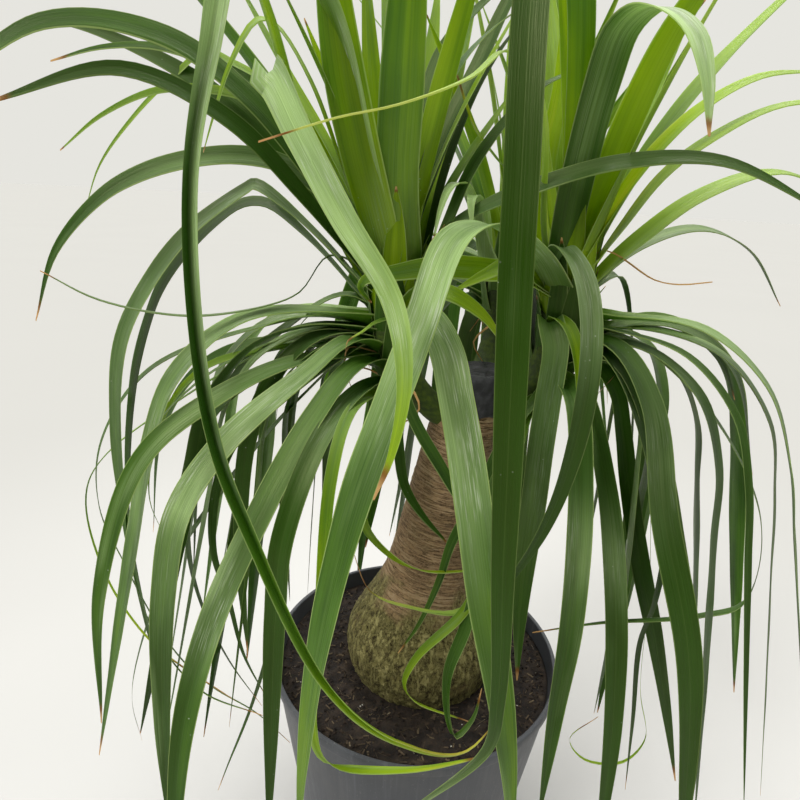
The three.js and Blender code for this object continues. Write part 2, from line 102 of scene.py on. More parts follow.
class NodeSheet:
    """Places and joins the nodes of one procedural material."""

    def __init__(self, name: str) -> None:
        """Starts an empty material of that name."""
        self.material = bpy.data.materials.new(name)
        self.material.use_nodes = True
        self.tree = self.material.node_tree
        self.tree.nodes.clear()

    def add(self, kind: str, **settings: object) -> bpy.types.Node:
        """Adds a node.

        Args:
            kind: The node's type name, without its ShaderNode prefix.
            settings: Values for the node's own properties.

        Returns:
            The new node.
        """
        node = self.tree.nodes.new("ShaderNode" + kind)
        for key, value in settings.items():
            setattr(node, key, value)
        return node

    def feed(self, target: Socket, source: "Socket | float | Sequence[float]") -> None:
        """Links a socket to an input, or sets a plain value on it.

        Args:
            target: The input.
            source: A socket or a value.
        """
        if isinstance(source, bpy.types.NodeSocket):
            self.tree.links.new(source, target)
        else:
            target.default_value = source

    def maths(self, operation: str, first: "Socket | float", second: "Socket | float" = 0.0) -> Socket:
        """Joins two numbers by a named operation of the Math node.

        Args:
            operation: The operation's name.
            first: The first number.
            second: The second number.

        Returns:
            The result.
        """
        node = self.add("Math", operation=operation)
        self.feed(node.inputs[0], first)
        self.feed(node.inputs[1], second)
        return node.outputs[0]

    def plus(self, first: "Socket | float", second: "Socket | float") -> Socket:
        """Adds two numbers."""
        return self.maths("ADD", first, second)

    def times(self, first: "Socket | float", second: "Socket | float") -> Socket:
        """Multiplies two numbers."""
        return self.maths("MULTIPLY", first, second)

    def spread(
        self, value: Socket, low: float, high: float, to_low: float = 0.0, to_high: float = 1.0,
    ) -> Socket:
        """Maps a range of a value onto another range, with a smooth step.

        Args:
            value: The value.
            low: Where its range starts.
            high: Where its range ends.
            to_low: What the start becomes.
            to_high: What the end becomes.

        Returns:
            The mapped value.
        """
        node = self.add("MapRange", interpolation_type="SMOOTHSTEP")
        for socket, number in zip(node.inputs, (value, low, high, to_low, to_high)):
            self.feed(socket, number)
        return node.outputs[0]

    def mixed(
        self, share: "Socket | float", first: "Socket | Colour", second: "Socket | Colour", way: str = "MIX",
    ) -> Socket:
        """Mixes two colours.

        Args:
            share: How much of the second colour shows.
            first: The colour at share 0.
            second: The colour at share 1.
            way: The blend type.

        Returns:
            The mixed colour's socket.
        """
        node = self.add("Mix", data_type="RGBA", blend_type=way, clamp_factor=True)
        self.feed(node.inputs[0], share)
        self.feed(node.inputs[6], first)
        self.feed(node.inputs[7], second)
        return node.outputs[2]

    def ramp(self, value: Socket, stops: Stops) -> Socket:
        """Colours a value by stops of (place, colour code).

        Args:
            value: The value.
            stops: The stops, from the lowest.

        Returns:
            The colour.
        """
        node = self.add("ValToRGB")
        line = node.color_ramp.elements
        while len(line) < len(stops):
            line.new(1.0)
        for stop, (place, code) in zip(line, stops):
            stop.position = place
            stop.color = linear(code)
        self.feed(node.inputs[0], value)
        return node.outputs[0]

    def grain(self, place: Socket, scale: float, detail: float = 3.0, rough: float = 0.55) -> Socket:
        """Gives the value of a noise pattern.

        Args:
            place: Where the pattern is read.
            scale: How fine it is.
            detail: How many finer layers it has.
            rough: How strong they are.

        Returns:
            The value.
        """
        node = self.add("TexNoise")
        self.feed(node.inputs["Vector"], place)
        self.feed(node.inputs["Scale"], scale)
        self.feed(node.inputs["Detail"], detail)
        self.feed(node.inputs["Roughness"], rough)
        return node.outputs[0]

    def dots(self, place: Socket, scale: float) -> Socket:
        """Gives the distance to the nearest point of a scattered pattern.

        Args:
            place: Where the pattern is read.
            scale: How fine it is.

        Returns:
            The distance.
        """
        node = self.add("TexVoronoi")
        self.feed(node.inputs["Vector"], place)
        self.feed(node.inputs["Scale"], scale)
        return node.outputs["Distance"]

    def point(self, x: "Socket | float", y: "Socket | float", z: "Socket | float") -> Socket:
        """Joins three numbers into a place.

        Args:
            x: The first number.
            y: The second number.
            z: The third number.

        Returns:
            The place.
        """
        node = self.add("CombineXYZ")
        for socket, number in zip(node.inputs, (x, y, z)):
            self.feed(socket, number)
        return node.outputs[0]

    def parts(self, place: Socket) -> tuple[Socket, Socket, Socket]:
        """Splits a place into its three numbers.

        Args:
            place: The place.

        Returns:
            The three numbers.
        """
        node = self.add("SeparateXYZ")
        self.feed(node.inputs[0], place)
        return node.outputs[0], node.outputs[1], node.outputs[2]

    def here(self) -> Socket:
        """Gives the place in the piece's own coordinates."""
        return self.add("TexCoord").outputs["Object"]

    def kept(self, name: str) -> Socket:
        """Gives a number that is kept on the mesh under a name."""
        return self.add("Attribute", attribute_name=name).outputs["Fac"]

    def round_place(self) -> tuple[Socket, Socket]:
        """Gives the angle round the upright axis and the height, both of the piece's own coordinates."""
        x, y, z = self.parts(self.here())
        return self.maths("ARCTAN2", y, x), z

    def bump(self, height: Socket, strength: float, depth: float) -> Socket:
        """Turns a height pattern into a normal.

        Args:
            height: The pattern.
            strength: Share of the full effect.
            depth: Depth of the relief in metres.

        Returns:
            The normal's socket.
        """
        node = self.add("Bump")
        node.inputs["Strength"].default_value = strength
        node.inputs["Distance"].default_value = depth
        self.feed(node.inputs["Height"], height)
        return node.outputs[0]

    def surface(self, colour: Socket, roughness: Socket, normal: Socket, gloss: float = 0.5) -> Socket:
        """Makes the main shader from its varied colour, roughness and normal.

        Args:
            colour: Base colour.
            roughness: Roughness.
            normal: Normal.
            gloss: Strength of the reflection.

        Returns:
            The shader's socket.
        """
        node = self.add("BsdfPrincipled")
        self.feed(node.inputs["Base Color"], colour)
        self.feed(node.inputs["Roughness"], roughness)
        self.feed(node.inputs["Normal"], normal)
        node.inputs["Specular IOR Level"].default_value = gloss
        return node.outputs[0]

    def done(self, shader: Socket) -> bpy.types.Material:
        """Joins the shader to the output and gives the material."""
        self.feed(self.add("OutputMaterial").inputs[0], shader)
        return self.material


@dataclass(frozen=True)
class PotPlastic:
    """Matt dark grey moulded plastic, with faint upright scuffs and dust."""

    body: str = "#44464a"
    scuff: str = "#6a6c70"
    dust: str = "#8d8a84"

    def make(self) -> bpy.types.Material:
        """Makes the material.

        Returns:
            The material.
        """
        sheet = NodeSheet("pot_plastic")
        angle, height = sheet.round_place()
        upright = sheet.point(sheet.times(angle, 26.0), 0.0, sheet.times(height, 9.0))
        streaks = sheet.grain(upright, 1.0, 5.0, 0.62)
        patches = sheet.grain(sheet.here(), 17.0, 4.0)
        specks = sheet.grain(sheet.here(), 620.0, 2.0)
        scuffed = sheet.spread(streaks, 0.52, 0.78, 0.0, 0.55)
        colour = sheet.mixed(scuffed, linear(self.body), linear(self.scuff))
        colour = sheet.mixed(sheet.spread(patches, 0.42, 0.75, 0.0, 0.22), colour, linear(self.dust))
        colour = sheet.mixed(sheet.spread(specks, 0.68, 0.74, 0.0, 0.5), colour, linear(self.dust))
        roughness = sheet.spread(sheet.plus(streaks, patches), 0.7, 1.3, 0.42, 0.62)
        relief = sheet.plus(sheet.grain(sheet.here(), 1500.0, 2.0), sheet.times(streaks, 0.8))
        return sheet.done(sheet.surface(colour, roughness, sheet.bump(relief, 0.25, 0.0002), 0.45))


@dataclass(frozen=True)
class PottingSoil:
    """Dark moist peat with lighter fibres."""

    stops: Stops = (
        (0.26, "#0e0b09"), (0.44, "#1f1915"), (0.6, "#382e25"), (0.78, "#594b3b"), (0.92, "#786850"),
    )

    def make(self) -> bpy.types.Material:
        """Makes the material.

        Returns:
            The material.
        """
        sheet = NodeSheet("potting_soil")
        clumps = sheet.grain(sheet.here(), 130.0, 6.0, 0.7)
        crumbs = sheet.grain(sheet.here(), 620.0, 4.0, 0.7)
        tone = sheet.plus(sheet.times(clumps, 0.55), sheet.times(crumbs, 0.45))
        tone = sheet.plus(tone, sheet.times(sheet.kept("relief"), 0.5))
        colour = sheet.ramp(tone, self.stops)
        roughness = sheet.spread(crumbs, 0.3, 0.7, 0.62, 0.95)
        return sheet.done(sheet.surface(colour, roughness, sheet.bump(crumbs, 0.9, 0.0012), 0.3))


@dataclass(frozen=True)
class SoilBits:
    """Wood chips, fibres and pale grains, each in a shade of its own."""

    stops: Stops = (
        (0.0, "#15100d"), (0.3, "#2a2019"), (0.55, "#42372c"), (0.75, "#5a4c3b"),
        (0.88, "#74664e"), (0.93, "#c9c4b8"),
    )

    def make(self) -> bpy.types.Material:
        """Makes the material.

        Returns:
            The material.
        """
        sheet = NodeSheet("soil_bits")
        fibre = sheet.grain(sheet.here(), 900.0, 4.0, 0.65)
        tone = sheet.plus(sheet.kept("shade"), sheet.spread(fibre, 0.3, 0.7, -0.06, 0.06))
        colour = sheet.ramp(tone, self.stops)
        roughness = sheet.spread(fibre, 0.3, 0.7, 0.7, 0.95)
        return sheet.done(sheet.surface(colour, roughness, sheet.bump(fibre, 0.8, 0.0006), 0.25))


@dataclass(frozen=True)
class CorkyBark:
    """Greenish tan cork with raised upright streaks below, reddish brown wrinkled bark above."""

    crack: str = "#33290f"
    cork: str = "#827a48"
    ridge: str = "#a89f68"
    upper_crack: str = "#46331f"
    upper: str = "#a2845f"
    upper_ridge: str = "#b59c78"
    moss: str = "#66682c"

    def make(self) -> bpy.types.Material:
        """Makes the material.

        Returns:
            The material.
        """
        sheet = NodeSheet("corky_bark")
        relief, above = sheet.kept("relief"), sheet.kept("above")
        x, y, z = sheet.parts(sheet.here())
        slant = sheet.plus(sheet.times(z, 6.5), sheet.times(x, 0.9))
        level_place = sheet.point(sheet.times(x, 0.4), sheet.times(y, 0.4), slant)
        level_lines = sheet.grain(level_place, 80.0, 5.0, 0.7)
        upright = sheet.grain(sheet.point(x, y, sheet.times(z, 0.28)), 250.0, 5.0, 0.7)
        flakes = sheet.grain(sheet.here(), 520.0, 4.0, 0.7)
        broad = sheet.grain(sheet.here(), 26.0, 4.0)

        def split(pattern: Socket, width: float) -> Socket:
            """Gives thin cracks where a pattern passes its middle."""
            return sheet.spread(sheet.maths("ABSOLUTE", sheet.maths("SUBTRACT", pattern, 0.49)), 0.0, width)

        low_level = sheet.plus(sheet.times(relief, 0.5), sheet.spread(upright, 0.34, 0.66, -0.02, 0.4))
        low_level = sheet.plus(low_level, sheet.spread(flakes, 0.34, 0.66, -0.1, 0.16))
        low_level = sheet.times(low_level, sheet.maths("MAXIMUM", split(upright, 0.026), 0.3))
        high_level = sheet.plus(sheet.times(relief, 0.35), sheet.spread(level_lines, 0.32, 0.68, 0.16, 0.5))
        high_level = sheet.plus(high_level, sheet.spread(flakes, 0.34, 0.66, -0.08, 0.12))
        high_level = sheet.times(high_level, sheet.maths("MAXIMUM", split(level_lines, 0.028), 0.3))
        low = sheet.mixed(sheet.spread(low_level, 0.05, 0.45), linear(self.crack), linear(self.cork))
        low = sheet.mixed(sheet.spread(low_level, 0.45, 0.9), low, linear(self.ridge))
        low = sheet.mixed(sheet.spread(broad, 0.45, 0.7, 0.0, 0.45), low, linear(self.moss), "OVERLAY")
        high = sheet.mixed(sheet.spread(high_level, 0.08, 0.42), linear(self.upper_crack), linear(self.upper))
        high = sheet.mixed(sheet.spread(high_level, 0.42, 0.9), high, linear(self.upper_ridge))
        share = sheet.spread(sheet.plus(above, sheet.spread(broad, 0.3, 0.7, -0.35, 0.35)), 0.2, 0.8)
        colour = sheet.mixed(share, low, high)
        fine = sheet.plus(sheet.times(upright, 0.5), sheet.times(level_lines, 0.5))
        roughness = sheet.spread(fine, 0.3, 0.7, 0.72, 0.95)
        below = sheet.maths("SUBTRACT", 1.0, share)
        relieved = sheet.plus(sheet.times(high_level, share), sheet.times(low_level, below))
        return sheet.done(sheet.surface(colour, roughness, sheet.bump(relieved, 0.85, 0.0016), 0.3))


@dataclass(frozen=True)
class WoundPaste:
    """Dried dark grafting paste, a little glossy on its brush marks."""

    stops: Stops = ((0.2, "#0f0f10"), (0.5, "#242526"), (0.8, "#47474a"))

    def make(self) -> bpy.types.Material:
        """Makes the material.

        Returns:
            The material.
        """
        sheet = NodeSheet("wound_paste")
        brush = sheet.grain(sheet.here(), 190.0, 5.0, 0.65)
        tone = sheet.plus(sheet.times(brush, 0.6), sheet.times(sheet.kept("relief"), 0.4))
        colour = sheet.ramp(tone, self.stops)
        roughness = sheet.spread(brush, 0.3, 0.7, 0.4, 0.7)
        return sheet.done(sheet.surface(colour, roughness, sheet.bump(brush, 0.8, 0.001), 0.45))


@dataclass(frozen=True)
class StrapLeaf:
    """Strap leaf: fine veins from root to tip, a painted whitish sheen with painted highlight streaks, light
    margins and a tan dry tip.
    """

    stops: Stops = (
        (0.0, "#294902"), (0.2, "#355c16"), (0.4, "#4f7720"), (0.6, "#77980c"),
        (0.8, "#9abb0a"), (1.0, "#d2cb4c"),
    )
    glow_stops: Stops = (
        (0.0, "#335c00"), (0.2, "#558604"), (0.4, "#80ac06"), (0.6, "#aaca04"),
        (0.8, "#d2e20a"), (1.0, "#efe468"),
    )
    # Painted sheen: the whitish green painted where highlights fall on a leaf, and the lighter colour that it
    # also gives the light through the leaf.
    pale: str = "#cce8a0"
    painted_sheen_glow: str = "#d6e8ac"
    # Whitish green of the painted highlight streaks, and of the light specks that the leaf has.
    silver: str = "#e9f1d6"
    margin: str = "#b9cf7c"
    straw: str = "#dcb478"
    rust: str = "#94622e"
    sheen: str = "#eef5b4"
    glow: float = 0.42
    gloss: float = 0.5

    def make(self) -> bpy.types.Material:
        """Makes the material.

        Returns:
            The material.
        """
        sheet = NodeSheet("strap_leaf")
        across, along, _ = sheet.parts(sheet.add("UVMap", uv_map=LEAF_MAP).outputs[0])
        shift = sheet.times(sheet.kept("seed"), 37.0)

        def lines(fine: float, long: float, detail: float = 2.0) -> Socket:
            """Gives a pattern drawn out along the leaf."""
            place = sheet.point(sheet.times(across, fine), sheet.times(along, long), shift)
            return sheet.grain(place, 1.0, detail, 0.55)

        veins, hairs, bands = lines(30.0, 3.0), lines(80.0, 12.0), lines(4.0, 5.0)
        dashes, clouds, drift = lines(38.0, 48.0), lines(1.6, 22.0), lines(0.9, 9.0)
        varied = sheet.plus(
            sheet.spread(bands, 0.3, 0.7, -0.045, 0.045), sheet.spread(veins, 0.3, 0.7, -0.032, 0.032),
        )
        varied = sheet.plus(varied, sheet.spread(drift, 0.3, 0.7, -0.1, 0.1))
        lively = sheet.spread(sheet.kept("tone"), 0.04, 0.24, 0.25, 1.0)
        tone = sheet.plus(sheet.kept("tone"), sheet.times(varied, lively))
        colour, through = sheet.ramp(tone, self.stops), sheet.ramp(tone, self.glow_stops)
        off_middle = sheet.maths("ABSOLUTE", sheet.maths("SUBTRACT", across, 0.5))
        # Painted sheen: where the kept pale number is high, a painted highlight, the green is mixed towards a
        # whitish green in streaks, and the light through the leaf is lightened too.
        pale = sheet.times(sheet.kept("pale"), sheet.spread(hairs, 0.34, 0.66, 0.55, 1.0))
        pale = sheet.times(pale, sheet.spread(drift, 0.36, 0.62, 0.5, 1.0))
        # Painted glint patches: random painted highlight places along the leaf, streaked by the hairs, added
        # to the painted sheen.
        patches = sheet.times(
            sheet.spread(lines(0.6, 6.0), 0.58, 0.72, 0.0, 0.42), sheet.spread(hairs, 0.34, 0.66, 0.15, 1.0),
        )
        pale = sheet.plus(pale, sheet.times(patches, lively))
        through = sheet.mixed(sheet.times(pale, 0.7), through, linear(self.painted_sheen_glow))
        colour = sheet.mixed(pale, colour, linear(self.pale))
        # Painted highlight streaks: short whitish dashes, strongest where the painted sheen is.
        painted_glint_streaks = sheet.times(sheet.spread(dashes, 0.52, 0.66), sheet.spread(clouds, 0.38, 0.58))
        painted_glint_streaks = sheet.times(painted_glint_streaks, sheet.spread(sheet.kept("pale"), 0.05, 0.8, 0.0, 0.75))
        colour = sheet.mixed(painted_glint_streaks, colour, linear(self.silver))
        margins = sheet.times(sheet.spread(off_middle, 0.462, 0.485, 0.0, 0.75), lively)
        colour = sheet.mixed(margins, colour, linear(self.margin))
        colour = sheet.mixed(sheet.spread(off_middle, 0.0, 0.03, 0.06, 0.0), colour, linear(self.margin))
        specks = sheet.dots(sheet.here(), 170.0)
        groups = sheet.spread(sheet.grain(sheet.here(), 14.0), 0.56, 0.66)
        spotted = sheet.times(sheet.spread(specks, 0.05, 0.1, 0.5, 0.0), groups)
        colour = sheet.mixed(spotted, colour, linear(self.silver))
        dried = sheet.plus(sheet.kept("dry"), sheet.spread(veins, 0.3, 0.7, -0.12, 0.12))
        dead = sheet.mixed(sheet.spread(sheet.kept("dry"), 0.55, 0.95), linear(self.rust), linear(self.straw))
        drying = sheet.spread(dried, 0.25, 0.6)
        colour, through = sheet.mixed(drying, colour, dead), sheet.mixed(drying, through, dead)
        roughness = sheet.spread(sheet.plus(veins, hairs), 0.75, 1.25, 0.26, 0.44)
        normal = sheet.bump(sheet.plus(veins, sheet.times(hairs, 0.6)), 0.5, 0.0004)
        front = sheet.surface(colour, roughness, normal, self.gloss)
        front.node.inputs["Specular Tint"].default_value = linear(self.sheen)
        behind = sheet.add("BsdfTranslucent")
        sheet.feed(behind.inputs["Color"], through)
        sheet.feed(behind.inputs["Normal"], normal)
        both = sheet.add("MixShader")
        both.inputs[0].default_value = self.glow
        sheet.feed(both.inputs[1], front)
        sheet.feed(both.inputs[2], behind.outputs[0])
        return sheet.done(both.outputs[0])


@dataclass(frozen=True)
class StemBark:
    """Short dark green-brown stem, faintly ringed by the scars of fallen leaves."""

    stops: Stops = ((0.2, "#1a2208"), (0.45, "#334410"), (0.7, "#55681a"), (0.9, "#7a7434"))

    def make(self) -> bpy.types.Material:
        """Makes the material.

        Returns:
            The material.
        """
        sheet = NodeSheet("stem_bark")
        _, height = sheet.round_place()
        rings = sheet.add("TexWave", wave_type="BANDS", bands_direction="Z")
        sheet.feed(rings.inputs["Vector"], sheet.here())
        rings.inputs["Scale"].default_value = 70.0
        rings.inputs["Distortion"].default_value = 3.0
        grain = sheet.grain(sheet.here(), 150.0, 5.0, 0.65)
        tone = sheet.plus(sheet.times(rings.outputs[1], 0.05), sheet.times(grain, 0.75))
        tone = sheet.plus(tone, sheet.spread(height, 0.44, 0.52, 0.12, -0.05))
        roughness = sheet.spread(grain, 0.3, 0.7, 0.6, 0.85)
        colour = sheet.ramp(tone, self.stops)
        return sheet.done(sheet.surface(colour, roughness, sheet.bump(tone, 0.8, 0.0014), 0.35))


@dataclass(frozen=True)
class StudioFloor:
    """Plain pale floor, painted lighter near the plant where its shadow falls."""

    code: str = "#a4a39f"
    painted_light_near_code: str = "#b7b6b3"
    cloud_code: str = "#a1a09c"

    def make(self) -> bpy.types.Material:
        """Makes the material.

        Returns:
            The material.
        """
        sheet = NodeSheet("studio_floor")
        cloud = sheet.grain(sheet.here(), 1.3, 2.0)
        x, y, _ = sheet.parts(sheet.here())
        away = sheet.maths("SQRT", sheet.plus(sheet.times(x, x), sheet.times(y, y)))
        # Painted light: lighter near the plant, where its shadow falls, fading to the plain colour by 1.3 m
        # out.
        colour = sheet.mixed(sheet.spread(away, 0.15, 1.3), linear(self.painted_light_near_code), linear(self.code))
        colour = sheet.mixed(sheet.spread(cloud, 0.3, 0.7, 0.0, 0.25), colour, linear(self.cloud_code))
        roughness = sheet.spread(cloud, 0.3, 0.7, 0.8, 0.9)
        return sheet.done(sheet.surface(colour, roughness, sheet.bump(cloud, 0.1, 0.001), 0.0))


def turned(mesh: bmesh.types.BMesh, profile: Outline, steps: int) -> None:
    """Spins a profile of (height, radius) pairs round the upright axis, and merges its doubles.

    Args:
        mesh: The mesh that takes the shape, empty before.
        profile: Outline from one end of the axis to the other, in millimetres.
        steps: Number of sides.
    """
    line = [mesh.verts.new((radius * MM, 0.0, height * MM)) for height, radius in profile]
    edges = [mesh.edges.new(pair) for pair in zip(line, line[1:])]
    bmesh.ops.spin(
        mesh, geom=line + edges, cent=(0, 0, 0), axis=(0, 0, 1), angle=2 * math.pi, steps=steps,
        use_merge=True,
    )
    bmesh.ops.remove_doubles(mesh, verts=mesh.verts[:], dist=1e-6)
    bmesh.ops.recalc_face_normals(mesh, faces=mesh.faces[:])


def put_piece(
    mesh: bmesh.types.BMesh, name: str, material: bpy.types.Material, sharp: float,
) -> bpy.types.Object:
    """Makes a finished mesh an object that rides on the part.

    Args:
        mesh: The finished mesh, which is freed.
        name: The piece's name.
        material: Its finish.
        sharp: Angle in degrees from which an edge shows as sharp.

    Returns:
        The new object.
    """
    data = bpy.data.meshes.new(name)
    mesh.to_mesh(data)
    mesh.free()
    data.materials.append(material)
    data.shade_smooth()
    data.set_sharp_from_angle(angle=math.radians(sharp))
    piece = bpy.data.objects.new(name, data)
    bpy.context.scene.collection.objects.link(piece)
    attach(piece, ROOT_BODY)
    LOG.info("%s: %d faces", name, len(data.polygons))
    return piece


class Gathered:
    """Collects many small shapes into one mesh.

    Each is shaped apart first, because an operator walks the whole mesh that it works on.
    """

    def __init__(self, numbers: Sequence[str], uv: str = "") -> None:
        """Starts empty, with named numbers kept on the vertices and perhaps a UV map."""
        self.numbers, self.uv = tuple(numbers), uv
        self.whole, self.work = self.fresh(), self.fresh()

    def fresh(self) -> bmesh.types.BMesh:
        """Starts a mesh with the named layers.

        Returns:
            The mesh.
        """
        mesh = bmesh.new()
        for name in self.numbers:
            mesh.verts.layers.float.new(name)
        if self.uv:
            mesh.loops.layers.uv.new(self.uv)
        return mesh

    def pour(self) -> None:
        """Adds the shapes under work to the whole and starts afresh."""
        data = bpy.data.meshes.new("poured")
        self.work.to_mesh(data)
        self.whole.from_mesh(data)
        bpy.data.meshes.remove(data)
        self.work.free()
        self.work = self.fresh()


def smooth_profile(points: Outline, step: float) -> list[tuple[float, float]]:
    """Rounds an outline of (height, radius) pairs through its points.

    Args:
        points: The outline's named points, in millimetres.
        step: Wanted distance between the new points.

    Returns:
        The finer outline, which keeps its first and last point.
    """
    route = [Vector((radius, 0.0, height)) for height, radius in points]
    made = []
    for k in range(len(route) - 1):
        count = max(1, round((route[k + 1] - route[k]).length / step))
        made += [span_point(route, k, j / count) for j in range(count)]
    made.append(route[-1])
    return [(p.z, max(0.0, p.x)) for p in made]


def span_point(points: Sequence[Vector], k: int, w: float) -> Vector:
    """Gives a point of a smooth curve through points, at share w of its span k (centripetal Catmull-Rom).

    Args:
        points: The points that the curve goes through.
        k: Number of the span.
        w: Share of the span.

    Returns:
        The point on the curve.
    """
    x1, x2 = points[k], points[k + 1]
    x0 = points[k - 1] if k > 0 else 2 * x1 - x2
    x3 = points[k + 2] if k + 2 < len(points) else 2 * x2 - x1
    d0, d1, d2 = ((b - a).length_squared ** 0.25 for a, b in ((x0, x1), (x1, x2), (x2, x3)))
    d1 = 1.0 if d1 < 1e-4 else d1
    d0 = d1 if d0 < 1e-4 else d0
    d2 = d1 if d2 < 1e-4 else d2
    t1 = ((x1 - x0) / d0 - (x2 - x0) / (d0 + d1) + (x2 - x1) / d1) * d1
    t2 = ((x2 - x1) / d1 - (x3 - x1) / (d1 + d2) + (x3 - x2) / d2) * d1
    return x1 + w * (t1 + w * (3 * (x2 - x1) - 2 * t1 - t2 + w * (2 * (x1 - x2) + t1 + t2)))


def even_points(points: Sequence[Vector], count: int) -> list[Vector]:
    """Gives count + 1 points along a curve through points, evenly in its own parameter.

    Args:
        points: The points of the curve.
        count: Number of steps.

    Returns:
        The new points.
    """
    spans = len(points) - 1
    made = []
    for i in range(count + 1):
        place = spans * i / count
        k = min(int(place), spans - 1)
        made.append(span_point(points, k, place - k))
    return made


@dataclass
class Pot:
    """Conical nursery pot with a narrow lip and eight drain holes."""

    height: float = 200.0
    rim_radius: float = 120.0
    foot_radius: float = 89.0
    wall: float = 2.2
    lip_drop: float = 7.0
    lip_proud: float = 1.6
    drain_holes: int = 8
    drain_radius: float = 8.0
    drain_circle: float = 66.0
    sides: int = 160

    def wall_radius(self, height: float) -> float:
        """Gives the outer wall's radius at a height."""
        return blend(self.foot_radius, self.rim_radius - self.lip_proud, min(1.0, height / self.height))

    def outline(self) -> list[tuple[float, float]]:
        """Gives the wall's outline, from the middle of the foot round the lip to the middle of the floor.

        Returns:
            Pairs of height and radius, in millimetres.
        """
        lip_foot = self.height - self.lip_drop
        inner = self.wall_radius(self.height) - self.wall
        return [
            (1.2, 0.0), (1.2, self.foot_radius - 7.0), (0.0, self.foot_radius - 5.5),
            (0.0, self.foot_radius - 1.8), (0.5, self.foot_radius - 0.5), (1.6, self.foot_radius + 0.1),
            (9.0, self.wall_radius(9.0)), (10.0, self.wall_radius(10.0) - 0.5),
            (11.0, self.wall_radius(11.0)), (60.0, self.wall_radius(60.0)), (120.0, self.wall_radius(120.0)),
            (lip_foot - 9.0, self.wall_radius(lip_foot - 9.0)),
            (lip_foot - 1.4, self.wall_radius(lip_foot)), (lip_foot - 0.3, self.rim_radius - 0.5),
            (lip_foot + 0.7, self.rim_radius), (self.height - 1.3, self.rim_radius),
            (self.height - 0.35, self.rim_radius - 0.4), (self.height, self.rim_radius - 1.3),
            (self.height, inner + 0.8), (self.height - 0.5, inner + 0.15), (self.height - 1.5, inner - 0.1),
            (120.0, self.wall_radius(120.0) - self.wall), (60.0, self.wall_radius(60.0) - self.wall),
            (self.wall + 3.0, self.wall_radius(self.wall) - self.wall - 0.4),
            (self.wall, self.wall_radius(self.wall) - 6.0), (self.wall, 0.0),
        ]

    def cutters(self) -> bpy.types.Object:
        """Makes the plugs that cut the drain holes, as one loose object.

        Returns:
            The plugs.
        """
        mesh = bmesh.new()
        for i in range(self.drain_holes):
            turn = Matrix.Rotation(2 * math.pi * i / self.drain_holes, 4, "Z")
            place = turn @ Matrix.Translation((self.drain_circle * MM, 0, 0))
            radius = self.drain_radius * MM
            bmesh.ops.create_cone(
                mesh, cap_ends=True, segments=32, radius1=radius, radius2=radius, depth=12 * self.wall * MM,
                matrix=place,
            )
        data = bpy.data.meshes.new("drain_plugs")
        mesh.to_mesh(data)
        mesh.free()
        plugs = bpy.data.objects.new("drain_plugs", data)
        bpy.context.scene.collection.objects.link(plugs)
        return plugs

    def build(self) -> bpy.types.Object:
        """Builds and dresses the pot.

        Returns:
            The pot.
        """
        mesh = bmesh.new()
        turned(mesh, self.outline(), self.sides)
        pot = put_piece(mesh, "nursery_pot", PotPlastic().make(), 35.0)
        plugs = self.cutters()
        cut = pot.modifiers.new("drain", "BOOLEAN")
        cut.operation = "DIFFERENCE"
        cut.solver = "EXACT"
        cut.object = plugs
        shaped = bpy.data.meshes.new_from_object(pot.evaluated_get(bpy.context.evaluated_depsgraph_get()))
        pot.modifiers.clear()
        pot.data = shaped
        bpy.data.objects.remove(plugs)
        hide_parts("pot")
        return pot


